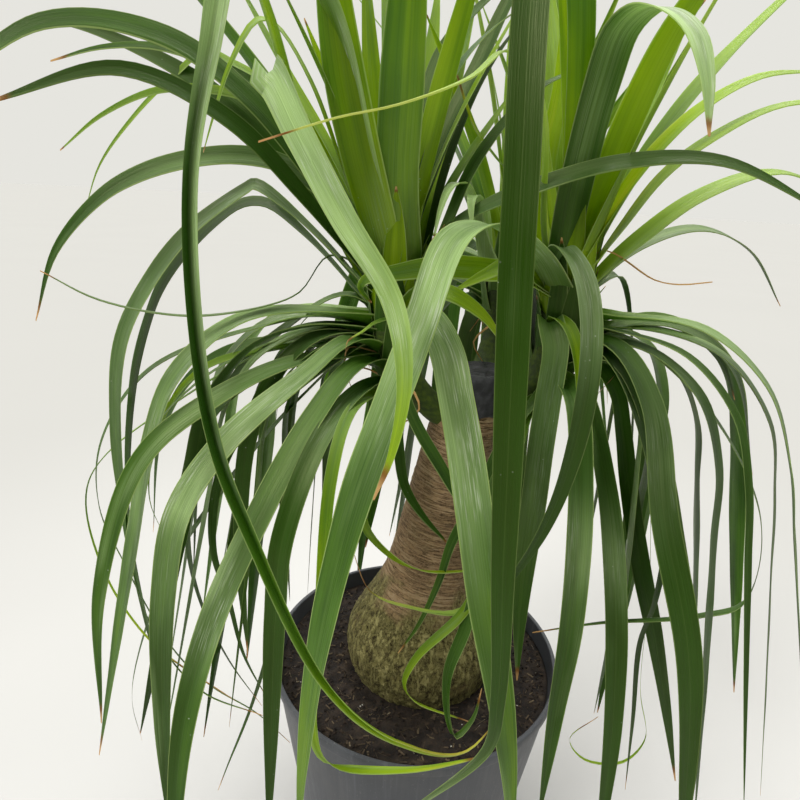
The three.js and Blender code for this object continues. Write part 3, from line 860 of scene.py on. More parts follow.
@dataclass
class Trunk:
    """Swollen foot that narrows to a leaning trunk with a sawn top."""

    profile: tuple[tuple[float, float], ...] = (
        (156, 0), (158, 26), (166, 44), (180, 55), (196, 61), (210, 63.5), (224, 62), (238, 56), (255, 47),
        (275, 38.5), (300, 33.5), (330, 30.5), (365, 28.5), (400, 27), (425, 25.5), (444, 24), (447, 22),
        (448, 0),
    )
    foot_x: float = 5.0
    lean: float = 30.0
    lean_from: float = 198.0
    top: float = 448.0
    sides: int = 190
    row: float = 1.3
    cork_depth: float = 1.5
    wrinkle_depth: float = 0.8

    def centre(self, height: float) -> Vector:
        """Gives the middle of the trunk at a height, in millimetres."""
        share = max(0.0, height - self.lean_from) / (self.top - self.lean_from)
        return Vector((self.foot_x + self.lean * share * share, 0.0, height))

    def radius(self, height: float) -> float:
        """Gives the trunk's radius at a height, in millimetres.

        Args:
            height: Height in millimetres.

        Returns:
            The radius, and 0 above the top.
        """
        for (low, low_radius), (high, high_radius) in zip(self.profile, self.profile[1:]):
            if height <= high:
                return blend(low_radius, high_radius, (height - low) / (high - low))
        return 0.0

    def above(self, height: float, angle: float) -> float:
        """Gives how far the bark has changed from corky to wrinkled, from 0 to 1."""
        wander = 9.0 * noise.noise(Vector((math.cos(angle) * 1.3, math.sin(angle) * 1.3, height * 0.02)))
        return ease(height + wander, 238.0, 300.0)

    def cork(self, height: float, angle: float) -> float:
        """Gives the relief of the corky bark, from 0 in a crack to 1 on a ridge.

        Args:
            height: Height in millimetres.
            angle: Angle round the axis, in radians.

        Returns:
            The relief.
        """
        reach = self.radius(height)
        x, y = math.cos(angle) * reach, math.sin(angle) * reach
        bend = 2.2 * noise.noise(Vector((x * 0.07, y * 0.07, height * 0.06)))
        ridges = noise.noise(Vector((x * 0.36 + bend, y * 0.36 - bend, height * 0.07)))
        fine = noise.noise(Vector((x * 0.75 + bend, y * 0.75, height * 0.16 + 7)))
        seams = noise.noise(Vector((x * 0.11 - bend * 0.4, y * 0.11, height * 0.033 + 40)))
        cracks = 1 - ease(abs(seams), 0.0, 0.1)
        level = 0.55 + 0.6 * ridges + 0.45 * fine - 0.3 * cracks
        return min(1.0, max(0.0, level))

    def wrinkles(self, height: float, angle: float) -> float:
        """Gives the relief of the wrinkled upper bark, from 0 in a crease to 1 on a ring.

        Args:
            height: Height in millimetres.
            angle: Angle round the axis, in radians.

        Returns:
            The relief.
        """
        x, y = math.cos(angle), math.sin(angle)
        wave = 3.0 * noise.noise(Vector((x * 1.4, y * 1.4, height * 0.03)))
        rings = noise.noise(Vector((x * 1.4, y * 1.4, (height + wave) * 0.5)))
        fine = noise.noise(Vector((x * 4.2, y * 4.2, (height + wave) * 1.1)))
        scars = 1 - ease(abs(math.sin((height + 2.2 * wave) * math.pi / 17.0)), 0.0, 0.16)
        plates = noise.noise(Vector((x * 2.6, y * 2.6, height * 0.07 + 20)))
        level = 0.55 + 0.38 * rings + 0.5 * fine - 0.2 * scars + 0.3 * plates
        return min(1.0, max(0.0, level))

    def build(self) -> bpy.types.Object:
        """Builds and dresses the trunk.

        Returns:
            The trunk.
        """
        mesh = bmesh.new()
        relief = mesh.verts.layers.float.new("relief")
        above = mesh.verts.layers.float.new("above")
        turned(mesh, smooth_profile(self.profile, self.row), self.sides)
        for vert in mesh.verts:
            height, angle = vert.co.z / MM, math.atan2(vert.co.y, vert.co.x)
            share = self.above(height, angle)
            level = blend(self.cork(height, angle), self.wrinkles(height, angle), share)
            depth = blend(self.cork_depth, self.wrinkle_depth, share)
            out = Vector((vert.co.x, vert.co.y, 0.0))
            if out.length > 0.012:
                vert.co += out.normalized() * (level - 0.6) * depth * MM
            vert.co += Vector((self.centre(height).x * MM, 0, 0))
            vert[relief], vert[above] = level, share
        trunk = put_piece(mesh, "bark_trunk", CorkyBark().make(), 180.0)
        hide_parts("trunk")
        return trunk


class Bit(Enum):
    """Shapes of the bits that lie on the soil."""

    CRUMB = "crumb"
    CHIP = "chip"
    FIBRE = "fibre"


@dataclass
class Soil:
    """Potting soil that fills the pot round the buried foot of the trunk."""

    pot: Pot
    trunk: Trunk
    below_rim: float = 10.0
    crown: float = 4.0
    gap: float = 0.35
    sides: int = 230
    ring: float = 1.7
    bits_seed: int = 4021
    crumbs: int = 1300
    chips: int = 520
    fibres: int = 620
    pale_grains: int = 16
    batch: int = 900

    def inner(self, height: float) -> float:
        """Gives the soil's outer radius at a height."""
        return self.pot.wall_radius(height) - self.pot.wall - self.gap

    def level(self, x: float, y: float) -> float:
        """Gives the height of the soil's rough top at a place, in millimetres.

        Args:
            x: Place across, in millimetres.
            y: Place in depth, in millimetres.

        Returns:
            The height.
        """
        edge = self.pot.height - self.below_rim - self.crown
        out = math.hypot(x, y)
        wall = self.inner(edge)
        rise = self.crown * ease(wall - out, 0.0, 34.0)
        heave = 1.5 * noise.noise(Vector((x * 0.035, y * 0.035, 1.0)))
        clumps = 1.3 * noise.noise(Vector((x * 0.13, y * 0.13, 5.0)))
        crumbs = 0.8 * noise.noise(Vector((x * 0.4, y * 0.4, 9.0)))
        rough = ease(wall - out, 0.0, 3.0)
        return edge + rise + (heave + clumps + crumbs) * rough - 0.4

    def build(self) -> list[bpy.types.Object]:
        """Builds and dresses the soil and what lies loose on it.

        Returns:
            The pieces.
        """
        edge = self.pot.height - self.below_rim - self.crown
        foot = self.pot.wall + self.gap
        wall, hole = self.inner(edge), self.trunk.radius(edge) - 1.2
        rings = round((wall - hole) / self.ring)
        outline = [
            (foot, 0.0), (foot, self.inner(foot) - 4.0), (foot + 4.0, self.inner(foot + 4.0)),
            (90.0, self.inner(90.0)),
        ]
        outline += [(edge, blend(wall, hole, i / rings)) for i in range(rings + 1)]
        outline += [(height - 0.4, radius) for height, radius in reversed(self.trunk.profile[:4])]
        mesh = bmesh.new()
        relief = mesh.verts.layers.float.new("relief")
        turned(mesh, outline, self.sides)
        for vert in mesh.verts:
            out = math.hypot(vert.co.x, vert.co.y) / MM
            near = 1 - ease(out, hole - 2.0, wall) if vert.co.z > 0.15 else 0.0
            vert.co.x += self.trunk.foot_x * near * MM
            if abs(vert.co.z / MM - edge) < 0.01:
                x, y = vert.co.x / MM, vert.co.y / MM
                vert.co.z = self.level(x, y) * MM
                vert[relief] = 0.35 * noise.noise(Vector((x * 0.13, y * 0.13, 5.0)))
        soil = put_piece(mesh, "soil_bed", PottingSoil().make(), 180.0)
        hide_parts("soil")
        return [soil, self.bits()]

    def spot(self, draw: SeededDraw) -> tuple[float, float]:
        """Draws a place on the open soil, in millimetres.

        Args:
            draw: The row of draws.

        Returns:
            The place.
        """
        while True:
            x, y = draw(-116.0, 116.0), draw(-116.0, 116.0)
            clear = math.hypot(x - self.trunk.foot_x, y) > self.trunk.radius(192.0) + 1.5
            if clear and math.hypot(x, y) < self.inner(186.0) - 2.5:
                return x, y

    def bits(self) -> bpy.types.Object:
        """Builds the chips, fibres, crumbs and pale grains that lie on the soil.

        Returns:
            The bits, in one piece.
        """
        bits = Gathered(("shade",))
        draw = SeededDraw(self.bits_seed)

        def lay(kind: Bit, size: tuple[float, float, float], tone: float) -> None:
            """Lays one bit of a kind, size and shade on the soil.

            Args:
                kind: Its shape.
                size: Its length, width and thickness, in millimetres.
                tone: Its shade, from dark to light.
            """
            mesh = bits.work
            x, y = self.spot(draw)
            spin = Matrix.Rotation(math.radians(draw(0, 360)), 4, "Z")
            spin @= Matrix.Rotation(math.radians(draw(-16, 16)), 4, "Y")
            place = Matrix.Translation((x * MM, y * MM, (self.level(x, y) + 0.28 * size[2]) * MM)) @ spin
            shape = place @ Matrix.Diagonal((size[0] * MM, size[1] * MM, size[2] * MM, 1.0))
            if kind is Bit.CRUMB:
                new = bmesh.ops.create_icosphere(mesh, subdivisions=1, radius=0.5, matrix=shape)["verts"]
            elif kind is Bit.FIBRE:
                lying = shape @ Matrix.Rotation(math.pi / 2, 4, "Y")
                new = bmesh.ops.create_cone(
                    mesh, cap_ends=True, segments=5, radius1=0.5, radius2=0.2, depth=1.0, matrix=lying,
                )["verts"]
            else:
                new = bmesh.ops.create_cube(mesh, size=1.0, matrix=shape)["verts"]
            shade = mesh.verts.layers.float["shade"]
            for vert in new:
                jolt = noise.noise_vector(vert.co * 700.0)
                vert.co += jolt * min(size) * 0.22 * MM
                vert[shade] = tone
            if len(mesh.verts) > self.batch:
                bits.pour()

        for _ in range(self.crumbs):
            grit = draw(0.8, 2.8)
            lay(Bit.CRUMB, (grit, grit * draw(0.6, 1.0), grit * draw(0.5, 0.8)), draw(0.0, 0.62))
        for _ in range(self.chips):
            lay(Bit.CHIP, (draw(2.0, 6.0), draw(0.6, 1.5), draw(0.35, 0.8)), draw(0.25, 0.86))
        for _ in range(self.fibres):
            lay(Bit.FIBRE, (draw(3.0, 10.0), draw(0.25, 0.55), draw(0.25, 0.55)), draw(0.4, 0.88))
        for _ in range(self.pale_grains):
            grit = draw(0.8, 1.6)
            lay(Bit.CRUMB, (grit, grit * 0.9, grit * 0.7), 1.0)
        bits.pour()
        return put_piece(bits.whole, "soil_bits", SoilBits().make(), 30.0)


@dataclass
class WoundSeal:
    """Paste cap over the trunk's sawn top."""

    trunk: Trunk
    depth: float = 27.0
    thickness: float = 2.0
    ragged: float = 2.2
    gap: float = 0.35
    sides: int = 120
    row: float = 1.3

    def build(self) -> bpy.types.Object:
        """Builds and dresses the cap.

        Returns:
            The cap.
        """
        low, top, proud = self.trunk.top - self.depth, self.trunk.top, self.thickness
        foot, shoulder = self.trunk.radius(low), self.trunk.radius(top - 3.0)
        outer = smooth_profile([
            (low, foot + 0.9), (low + 1.5, foot + proud), (top - 8.0, self.trunk.radius(top - 8.0) + proud),
            (top - 1.5, shoulder + proud), (top + 1.2, shoulder - 1.0), (top + proud, 15.0),
            (top + proud, 0.0),
        ], self.row)
        inner = [
            (top + self.gap, 0.0), (top + self.gap, 21.0), (top - 3.0, shoulder + self.gap),
            (low, foot + self.gap),
        ]
        mesh = bmesh.new()
        relief = mesh.verts.layers.float.new("relief")
        turned(mesh, outer + inner + [outer[0]], self.sides)
        for vert in mesh.verts:
            height, angle = vert.co.z / MM, math.atan2(vert.co.y, vert.co.x)
            out = Vector((vert.co.x, vert.co.y, 0.0))
            outside = out.length / MM > self.trunk.radius(min(height, top - 3.0)) + 0.8 or height > top + 1.0
            level = 0.5 + 0.5 * noise.fractal(Vector((vert.co.x, vert.co.y, vert.co.z)) * 160.0, 0.8, 2.1, 4)
            if outside:
                push = out.normalized() if height < top else Vector((0, 0, 1))
                vert.co += push * (level - 0.55) * 1.5 * MM
            if height < low + 6.0:
                wavy = 0.5 + 0.5 * noise.noise(Vector((math.cos(angle) * 2.6, math.sin(angle) * 2.6, 3.0)))
                vert.co.z -= self.ragged * MM * wavy * (1 - ease(height, low, low + 6.0))
            vert.co.x += self.trunk.centre(height).x * MM
            vert[relief] = level
        seal = put_piece(mesh, "paste_cap", WoundPaste().make(), 60.0)
        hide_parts("wound_seal")
        return seal


@dataclass(frozen=True)
class Tint:
    """Greens along a leaf: its tone at root, middle and tip, from 0 for deep green to 1 for yellow.

    Then how much painted sheen, a whitish painted highlight, it has, how much of its tip is dried, how much
    painted sheen its end has, and the shares of the length where the painted sheen has gone, where that of
    the end begins, how long the painted sheen fades, where it starts, and where the tone of the root has
    gone.
    """

    root: float
    middle: float
    tip: float
    pale: float = 0.0
    dried: float = 0.03
    pale_end: float = 0.0
    pale_until: float = 0.8
    pale_from: float = 0.6
    pale_fade: float = 0.36
    pale_start: float = 0.03
    root_until: float = 0.3


class Green(Enum):
    """Named tints of the leaves."""

    # The fourth number of each tint, and the sheen of its end, are painted sheen: a whitish painted
    # highlight.
    OLIVE = Tint(0.66, 0.03, 0.16, 0.0, 0.01, 0.5, 0.8, 0.84, root_until=0.44)
    DEEP = Tint(0.26, 0.11, 0.1, 0.02)
    PRIME = Tint(0.38, 0.2, 0.24, 0.06)
    SHEEN = Tint(0.4, 0.2, 0.14, 0.28)
    PALE = Tint(0.4, 0.34, 0.42, 0.9, 0.03, 0.0, 0.64)
    YOUNG = Tint(0.72, 0.62, 0.52, 0.0, 0.01)
    BRIGHT = Tint(0.82, 0.74, 0.66, 0.0, 0.01)
    BLUISH = Tint(0.62, 0.5, 0.42, 0.14)
    LIME = Tint(0.45, 0.55, 0.78)
    CURLED = Tint(0.72, 0.1, 1.0, 1.0, 0.025, 0.0, 0.46, 0.6, 0.12, 0.2, 0.4)
    BROWN_TIP = Tint(0.4, 0.32, 0.7, 1.0, 0.035, 0.0, 0.95)
    FOLDED = Tint(0.26, 0.16, 0.5, 0.0, 0.02, 0.95)
    # A whitish painted highlight along the whole leaf.
    ALL_SHEEN = Tint(0.5, 0.5, 0.5, 1.0, 0.005, 0.0, 1.4)
    YELLOWED = Tint(0.5, 0.72, 0.96, 0.25, 0.03)
    DRY_END = Tint(0.4, 0.5, 0.95, 0.0, 0.1)
    DRIED = Tint(0.6, 0.8, 0.9, 0.0, 1.0)


@dataclass(frozen=True)
class Strap:
    """A listed leaf.

    Its turn is that of the compass and its path has [reach, height, side] steps. Its twisting is the shares
    of the length at which the twist starts and is full, and the share of it that is left at the tip. Each
    gleam is a painted highlight: its share of the length, its half length and its strength. Its pinch is the
    angle in degrees by which its two halves are folded up further where it hangs; it also paints a sheen
    stripe, a painted highlight, on one half over the first half to two thirds of the length.
    """

    turn: float
    width: float
    twist: float
    root: float
    path: tuple[Step, ...]
    green: Green = Green.PRIME
    twisting: tuple[float, float, float] = (0.02, 0.45, 1.0)
    gleams: tuple[tuple[float, float, float], ...] = ()
    pinch: float = 0.0


@dataclass
class Blade:
    """One leaf with its route in the part's frame, in millimetres."""

    head: int
    turn: float
    width: float
    twist: float
    route: list[Vector]
    tint: Tint
    seed: float
    twisting: tuple[float, float, float] = (0.02, 0.45, 1.0)
    gleams: tuple[tuple[float, float, float], ...] = ()
    pinch: float = 0.0
    checks: np.ndarray = field(init=False)

    def __post_init__(self) -> None:
        """Keeps the points that the clearance tests read."""
        self.checks = np.array(even_points(self.route, CHECK_SPANS))


@dataclass(frozen=True)
class HeadPlan:
    """Where a head grows, and its drawn leaves: sector, greatest rise of the old ones, number and seed."""

    name: str
    crown: tuple[float, float, float]
    foot: tuple[float, float, float]
    sector: tuple[float, float]
    rise: float
    drawn: int
    seed: int
    narrow: int = 6


HEAD_PLANS = (
    HeadPlan("left_head", (-30, -5, 470), (12, -2, 408), (138, 216), 24, 14, 11),
    HeadPlan("right_head", (89, 5, 476), (42, 0, 412), (-42, 32), 24, 14, 23, 2),
    HeadPlan("back_head", (56, 62, 490), (34, 10, 420), (40, 152), 52, 24, 37),
)

LEFT_STRAPS = (
    Strap(235, 14, 62, 20, (
        (35, 110), (80, 195), (125, 205), (166, 144, 19), (189, 91, 34), (199, 6, 53), (190, -46, 65),
        (161, -136, 83), (108, -213, 96), (53, -256, 115), (16, -243, 125),
    ), Green.CURLED, (0.2, 0.42, 0.8), pinch=56),
    Strap(218, 22, 10, 5, (
        (30, 54, -2), (60, 100, 0), (94, 155, 0), (95, 152, 9), (94, 127, 33), (87, 85, 68), (76, 47, 97),
        (76, 10, 110), (82, -30, 110), (90, -54, 107),
    ), Green.BROWN_TIP, gleams=((0.64, 0.03, 0.4), (0.78, 0.03, 0.3))),
    Strap(290, 23, 0, -5, (
        (25, 22), (60, 27, -2), (88, 12), (107, -10), (121, -36, 2), (135, -72, 5), (147, -116, 10),
        (161, -195, 23), (165, -250, 32), (166, -300, 38),
    ), Green.PALE),
    Strap(188, 16, 46, 5, (
        (20, 30), (60, 72), (95, 98), (99, 96), (135, 70), (162, 38), (185, -5), (195, -70), (195, -150),
        (182, -300),
    ), Green.SHEEN),
    Strap(184, 12, 44, 2, (
        (17, 17, -6), (40, 44, -6), (67, 71, -5), (88, 87, -3), (103, 87, -2), (123, 74, -2), (147, 50, 0),
        (161, 29, 2), (171, 6, 2), (181, -25, 2), (188, -59, 2), (194, -99, 1), (198, -146, 1),
        (197, -200, 0), (194, -242, -1),
    ), Green.DEEP),
    Strap(220, 16.5, 46, -20, (
        (35, 2), (75, -18), (130, -52), (160, -88), (173, -140), (181, -240), (183, -350),
    ), Green.SHEEN, gleams=((0.41, 0.04, 0.85), (0.28, 0.07, 0.3))),
    Strap(234, 16, 30, -25, (
        (40, -12), (80, -37), (135, -100), (165, -145), (188, -205), (208, -350),
    ), Green.PRIME, gleams=((0.5, 0.07, 0.5),)),
    Strap(242, 14, 25, -35, ((45, -28), (88, -47), (125, -98), (133, -150), (146, -330)), Green.DEEP),
    Strap(172, 10, 50, 5, ((35, 28), (75, 6), (112, -28), (148, -90), (168, -230)), Green.DEEP),
    Strap(200, 13, 55, -10, ((42, 6), (72, -8), (100, -55), (112, -140), (110, -250)), Green.DEEP),
    Strap(160, 12, 60, -12, ((75, -14), (130, -24), (180, -55), (218, -115), (238, -220)), Green.DEEP),
    Strap(205, 13, 55, -15, ((70, -12), (130, -36), (172, -70), (205, -160), (215, -270))),
    Strap(200, 14, 62, 12, ((25, 50), (60, 105), (95, 145), (140, 172), (200, 172), (265, 120))),
    Strap(210, 12, 66, 10, ((35, 55), (70, 95), (112, 132), (165, 150), (225, 128)), Green.DEEP),
    Strap(160, 9, 20, 25, ((20, 70), (50, 120), (85, 170), (130, 235)), Green.YOUNG),
    Strap(235, 25, -40, 25, ((25, 80), (45, 125), (62, 168), (85, 260)), Green.YOUNG),
    Strap(275, 27, 0, 22, (
        (15, 60), (25, 105, -5), (35, 150, -5), (55, 205, -5), (85, 262, -5),
    ), Green.BLUISH),
    Strap(130, 17, 0, 30, ((15, 90), (25, 145, 5), (45, 250, 5)), Green.YOUNG),
    Strap(225, 16, 10, 15, ((29, 54, -15), (65, 130, -22), (96, 188, -11), (135, 240)), Green.YOUNG),
    Strap(60, 14, 0, 18, ((15, 68, -7), (34, 120, -9), (50, 166, -8), (80, 225, -5)), Green.YOUNG),
    Strap(20, 14, -30, 20, ((15, 95), (30, 140), (48, 178), (70, 225), (105, 270)), Green.DEEP),
    Strap(345, 12, -52, 15, ((28, 72), (55, 92), (90, 108), (135, 122), (190, 124), (250, 98)), Green.DEEP),
    Strap(250, 7, 0, -38, (
        (40, -42, 5), (70, -104, 9), (63, -131, 24), (50, -148, 46), (22, -154, 86),
    ), Green.LIME),
    Strap(245, 9, 0, -38, (
        (70, -35, 5), (100, -70, 10), (124, -163, 19), (131, -223, 19), (129, -250, 28), (110, -250, 76),
        (81, -243, 121),
    ), Green.LIME),
)

RIGHT_STRAPS = (
    Strap(255, 16, 5, 20, (
        (16, 120, -5), (62, 205, -15), (122, 215, -30), (167, 91, -23), (181, 5, -17), (182, -78, -11),
        (176, -169, -5), (171, -212, -8), (172, -262, -40), (172, -290, -62),
    ), Green.OLIVE),
    Strap(225, 26, 0, 0, (
        (22, 40), (50, 62), (94, 77), (124, 69), (147, 24), (164, -11), (191, -69), (214, -151),
        (226, -235), (230, -300),
    ), Green.PALE, gleams=((0.2, 0.035, 0.5), (0.34, 0.03, 0.4))),
    Strap(290, 15, 0, 8, (
        (15, 55, -22), (42, 65, -34), (75, 50, -40), (97, 18, -46), (105, -35, -52), (104, -90, -65),
        (92, -155, -92),
    ), Green.DEEP, gleams=((0.45, 0.09, 0.3),)),
    Strap(318, 19, -40, -15, (
        (35, -6), (78, -60), (104, -125), (140, -238), (158, -345),
    ), Green.DEEP, gleams=((0.35, 0.1, 0.24),)),
    Strap(283, 18, -5, -32, (
        (50, -32, -9), (78, -85, -12), (95, -174, -13), (103, -241, -18), (107, -335, -20),
    ), Green.PRIME, gleams=((0.42, 0.08, 0.4),)),
    Strap(298, 16, -25, -30, (
        (32, -38), (65, -90), (88, -158), (108, -260), (120, -400),
    ), Green.DEEP, gleams=((0.36, 0.08, 0.3),)),
    Strap(308, 20, -30, -8, (
        (45, 2), (78, -28), (103, -100), (138, -190), (168, -360),
    ), Green.DEEP, gleams=((0.3, 0.1, 0.3),)),
    Strap(30, 11, -60, 5, ((25, 32), (50, 42), (74, 0), (98, -90), (120, -300)), Green.DEEP),
    Strap(350, 11, -30, -5, ((30, 6), (55, 15), (82, 14), (120, -12), (150, -90)), Green.DEEP),
    Strap(285, 24, 0, 15, (
        (15, 68, -12), (28, 122, -16), (40, 160, -17), (52, 181, -18), (67, 188, -16), (88, 183, -16),
        (109, 170, -15), (128, 148, -18), (142, 122, -22),
    ), Green.FOLDED),
    Strap(320, 22, 35, 20, ((10, 75), (20, 115), (30, 150), (45, 190), (80, 245)), Green.BRIGHT),
    Strap(340, 18, -20, 15, ((30, 75), (50, 110), (74, 133), (110, 152), (165, 150)), Green.BRIGHT),
    Strap(5, 17, -20, 5, ((25, 45), (50, 72), (85, 100), (135, 118), (190, 105)), Green.BRIGHT),
    Strap(20, 12, -20, 0, ((35, 50), (75, 72), (115, 78), (165, 62), (210, 20)), Green.SHEEN),
    Strap(200, 19, 15, 25, ((12, 60), (22, 97), (37, 145), (60, 230)), Green.BRIGHT),
    Strap(215, 6, 0, -36, (
        (30, -42, 12), (60, -72, 30), (84, -140, 43), (103, -174, 36), (137, -168, 20), (158, -157, 6),
        (167, -126, -5),
    ), Green.DRY_END),
    Strap(215, 8, 0, -40, (
        (40, -58, 10), (88, -135, 42), (106, -169, 42), (134, -203, 30), (141, -224, 27), (134, -240, 30),
        (97, -262, 50),
    ), Green.LIME),
    Strap(220, 11, 0, -44, (
        (42, -50, 8), (96, -140, 34), (112, -178, 38), (123, -212, 36), (122, -250, 40), (117, -263, 43),
        (106, -251, 47), (100, -228, 47),
    )),
)


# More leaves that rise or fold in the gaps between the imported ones, and thin ones that trail at the sides
LEFT_SLIPS = (
    Strap(205, 9, 35, -20, (
        (21, -3, 2), (48, -17, -1), (81, -42, -8), (111, -72, -18), (125, -111, -22), (129, -161, -24),
        (120, -205, -19), (111, -258, -18), (94, -305, -12),
    ), Green.DEEP),
    Strap(195, 9.5, 35, -18, (
        (22, -1, 1), (67, -16, -4), (115, -43, -11), (139, -78, -16), (149, -126, -16), (150, -177, -16),
        (142, -225, -16), (125, -275, -14), (100, -325, -11),
    ), Green.DEEP),
    Strap(186, 5.5, 40, -10, (
        (21, 2, 1), (74, -8, -3), (131, -24, -5), (159, -52, -6), (176, -95, -5), (181, -133, -6),
        (174, -162, -7),
    ), Green.YOUNG),
    Strap(175, 8.5, 30, -12, (
        (22, -8, -7), (72, -55, -9), (130, -129, -8), (180, -207, -3), (217, -302, 2), (228, -359, 5),
        (222, -405, 6),
    ), Green.DEEP),
    Strap(180, 7, 30, -5, (
        (22, 15, -5), (103, 1, 1), (175, -31, 7), (213, -86, 11), (220, -139, 13), (206, -188, 13),
        (173, -277, 9), (146, -316, 5), (109, -350, -1), (80, -393, -9),
    ), Green.PRIME),
    Strap(190, 6.5, 30, -22, (
        (18, -10, -4), (48, -50, -12), (70, -119, -17), (84, -213, -22), (95, -286, -24), (113, -353, -25),
        (135, -416, -25), (145, -446, -25),
    ), Green.DEEP),
    Strap(300, 8, 0, -24, (
        (23, -31, -10), (37, -62, -14), (45, -92, -12), (55, -112, -3), (67, -134, 14),
    ), Green.DEEP),
    Strap(310, 10, 0, -14, (
        (21, -16, -14), (35, -31, -18), (47, -51, -14), (63, -82, -1), (77, -114, 12), (83, -146, 20),
    ), Green.PRIME),
    Strap(180, 13, 64, 14, (
        (16, 45, -5), (42, 77, -9), (70, 103, -13), (104, 137, -17), (143, 164, -21), (202, 188, -25),
        (247, 196, -27),
    ), Green.DEEP),
    Strap(186, 14, 56, 8, (
        (20, 53, 1), (47, 91, 2), (76, 111, 3), (103, 115, 4), (133, 111, 7), (163, 101, 10), (188, 86, 11),
        (218, 53, 12), (236, 8, 12),
    ), Green.SHEEN),
    Strap(188, 8, 60, 20, (
        (18, 60, -6), (40, 98, -11), (73, 145, -15), (104, 163, -15), (133, 172, -14), (156, 175, -13),
        (185, 172, -13), (215, 163, -15),
    ), Green.PRIME),
    Strap(188, 7, 60, 22, (
        (18, 60, -8), (37, 92, -14), (67, 134, -23), (99, 152, -27), (137, 156, -30), (163, 152, -32),
        (195, 136, -32), (224, 114, -37),
    ), Green.YOUNG),
    Strap(184, 6, 50, 24, (
        (20, 66, -8), (41, 104, -18), (76, 153, -24), (115, 174, -29), (131, 179, -30), (151, 165, -32),
        (176, 142, -31), (205, 107, -31), (219, 76, -32),
    ), Green.YOUNG),
    Strap(200, 8, 30, 20, (
        (18, 58, 0), (36, 98, 3), (63, 157, 10), (83, 183, 11), (93, 183, 14), (108, 160, 11),
        (117, 136, 7), (124, 115, 3),
    ), Green.YOUNG),
    Strap(30, 17, 10, 20, (
        (-5, 54, -8), (-2, 91, -12), (7, 136, -17), (24, 175, -24), (47, 200, -33), (77, 218, -44),
    ), Green.PRIME),
    Strap(60, 13, 0, 20, (
        (6, 53, 0), (13, 100, 3), (26, 154, 1), (41, 192, -4), (62, 222, -21), (86, 248, -47),
    ), Green.DEEP),
    Strap(50, 7, 0, 18, (
        (11, 47, -11), (19, 82, -12), (28, 117, -14), (45, 162, -20), (59, 190, -28), (77, 215, -37),
    ), Green.DEEP),
    Strap(20, 9, -30, 18, (
        (16, 45, -9), (28, 79, -13), (40, 114, -18), (59, 144, -22), (82, 167, -27), (111, 180, -31),
    ), Green.PRIME),
    Strap(0, 11, -60, 12, (
        (3, 19, -13), (15, 37, -30), (31, 41, -43), (44, 36, -47), (58, 26, -50), (69, 11, -50),
    ), Green.LIME),
    Strap(200, 4, 0, 10, (
        (2, 18, 15), (27, 20, 38), (37, 16, 45), (47, 11, 48), (48, 5, 47),
    ), Green.DRY_END),
    Strap(185, 4.5, 0, 30, (
        (16, 44, 4), (47, 55, -9), (66, 32, 9), (85, 24, 18), (133, 18, 34), (185, 27, 39), (219, 43, 36),
    ), Green.DEEP),
    Strap(200, 4, 0, -12, (
        (45, 5, -11), (133, -34, -32), (186, -110, -41), (181, -226, -28), (147, -282, -6), (102, -294, 21),
    ), Green.PRIME),
    Strap(190, 4.5, 0, -5, (
        (46, 5, -3), (156, -57, -33), (231, -128, -46), (227, -194, -35), (190, -262, -18), (123, -321, -6),
    ), Green.DRY_END),
)

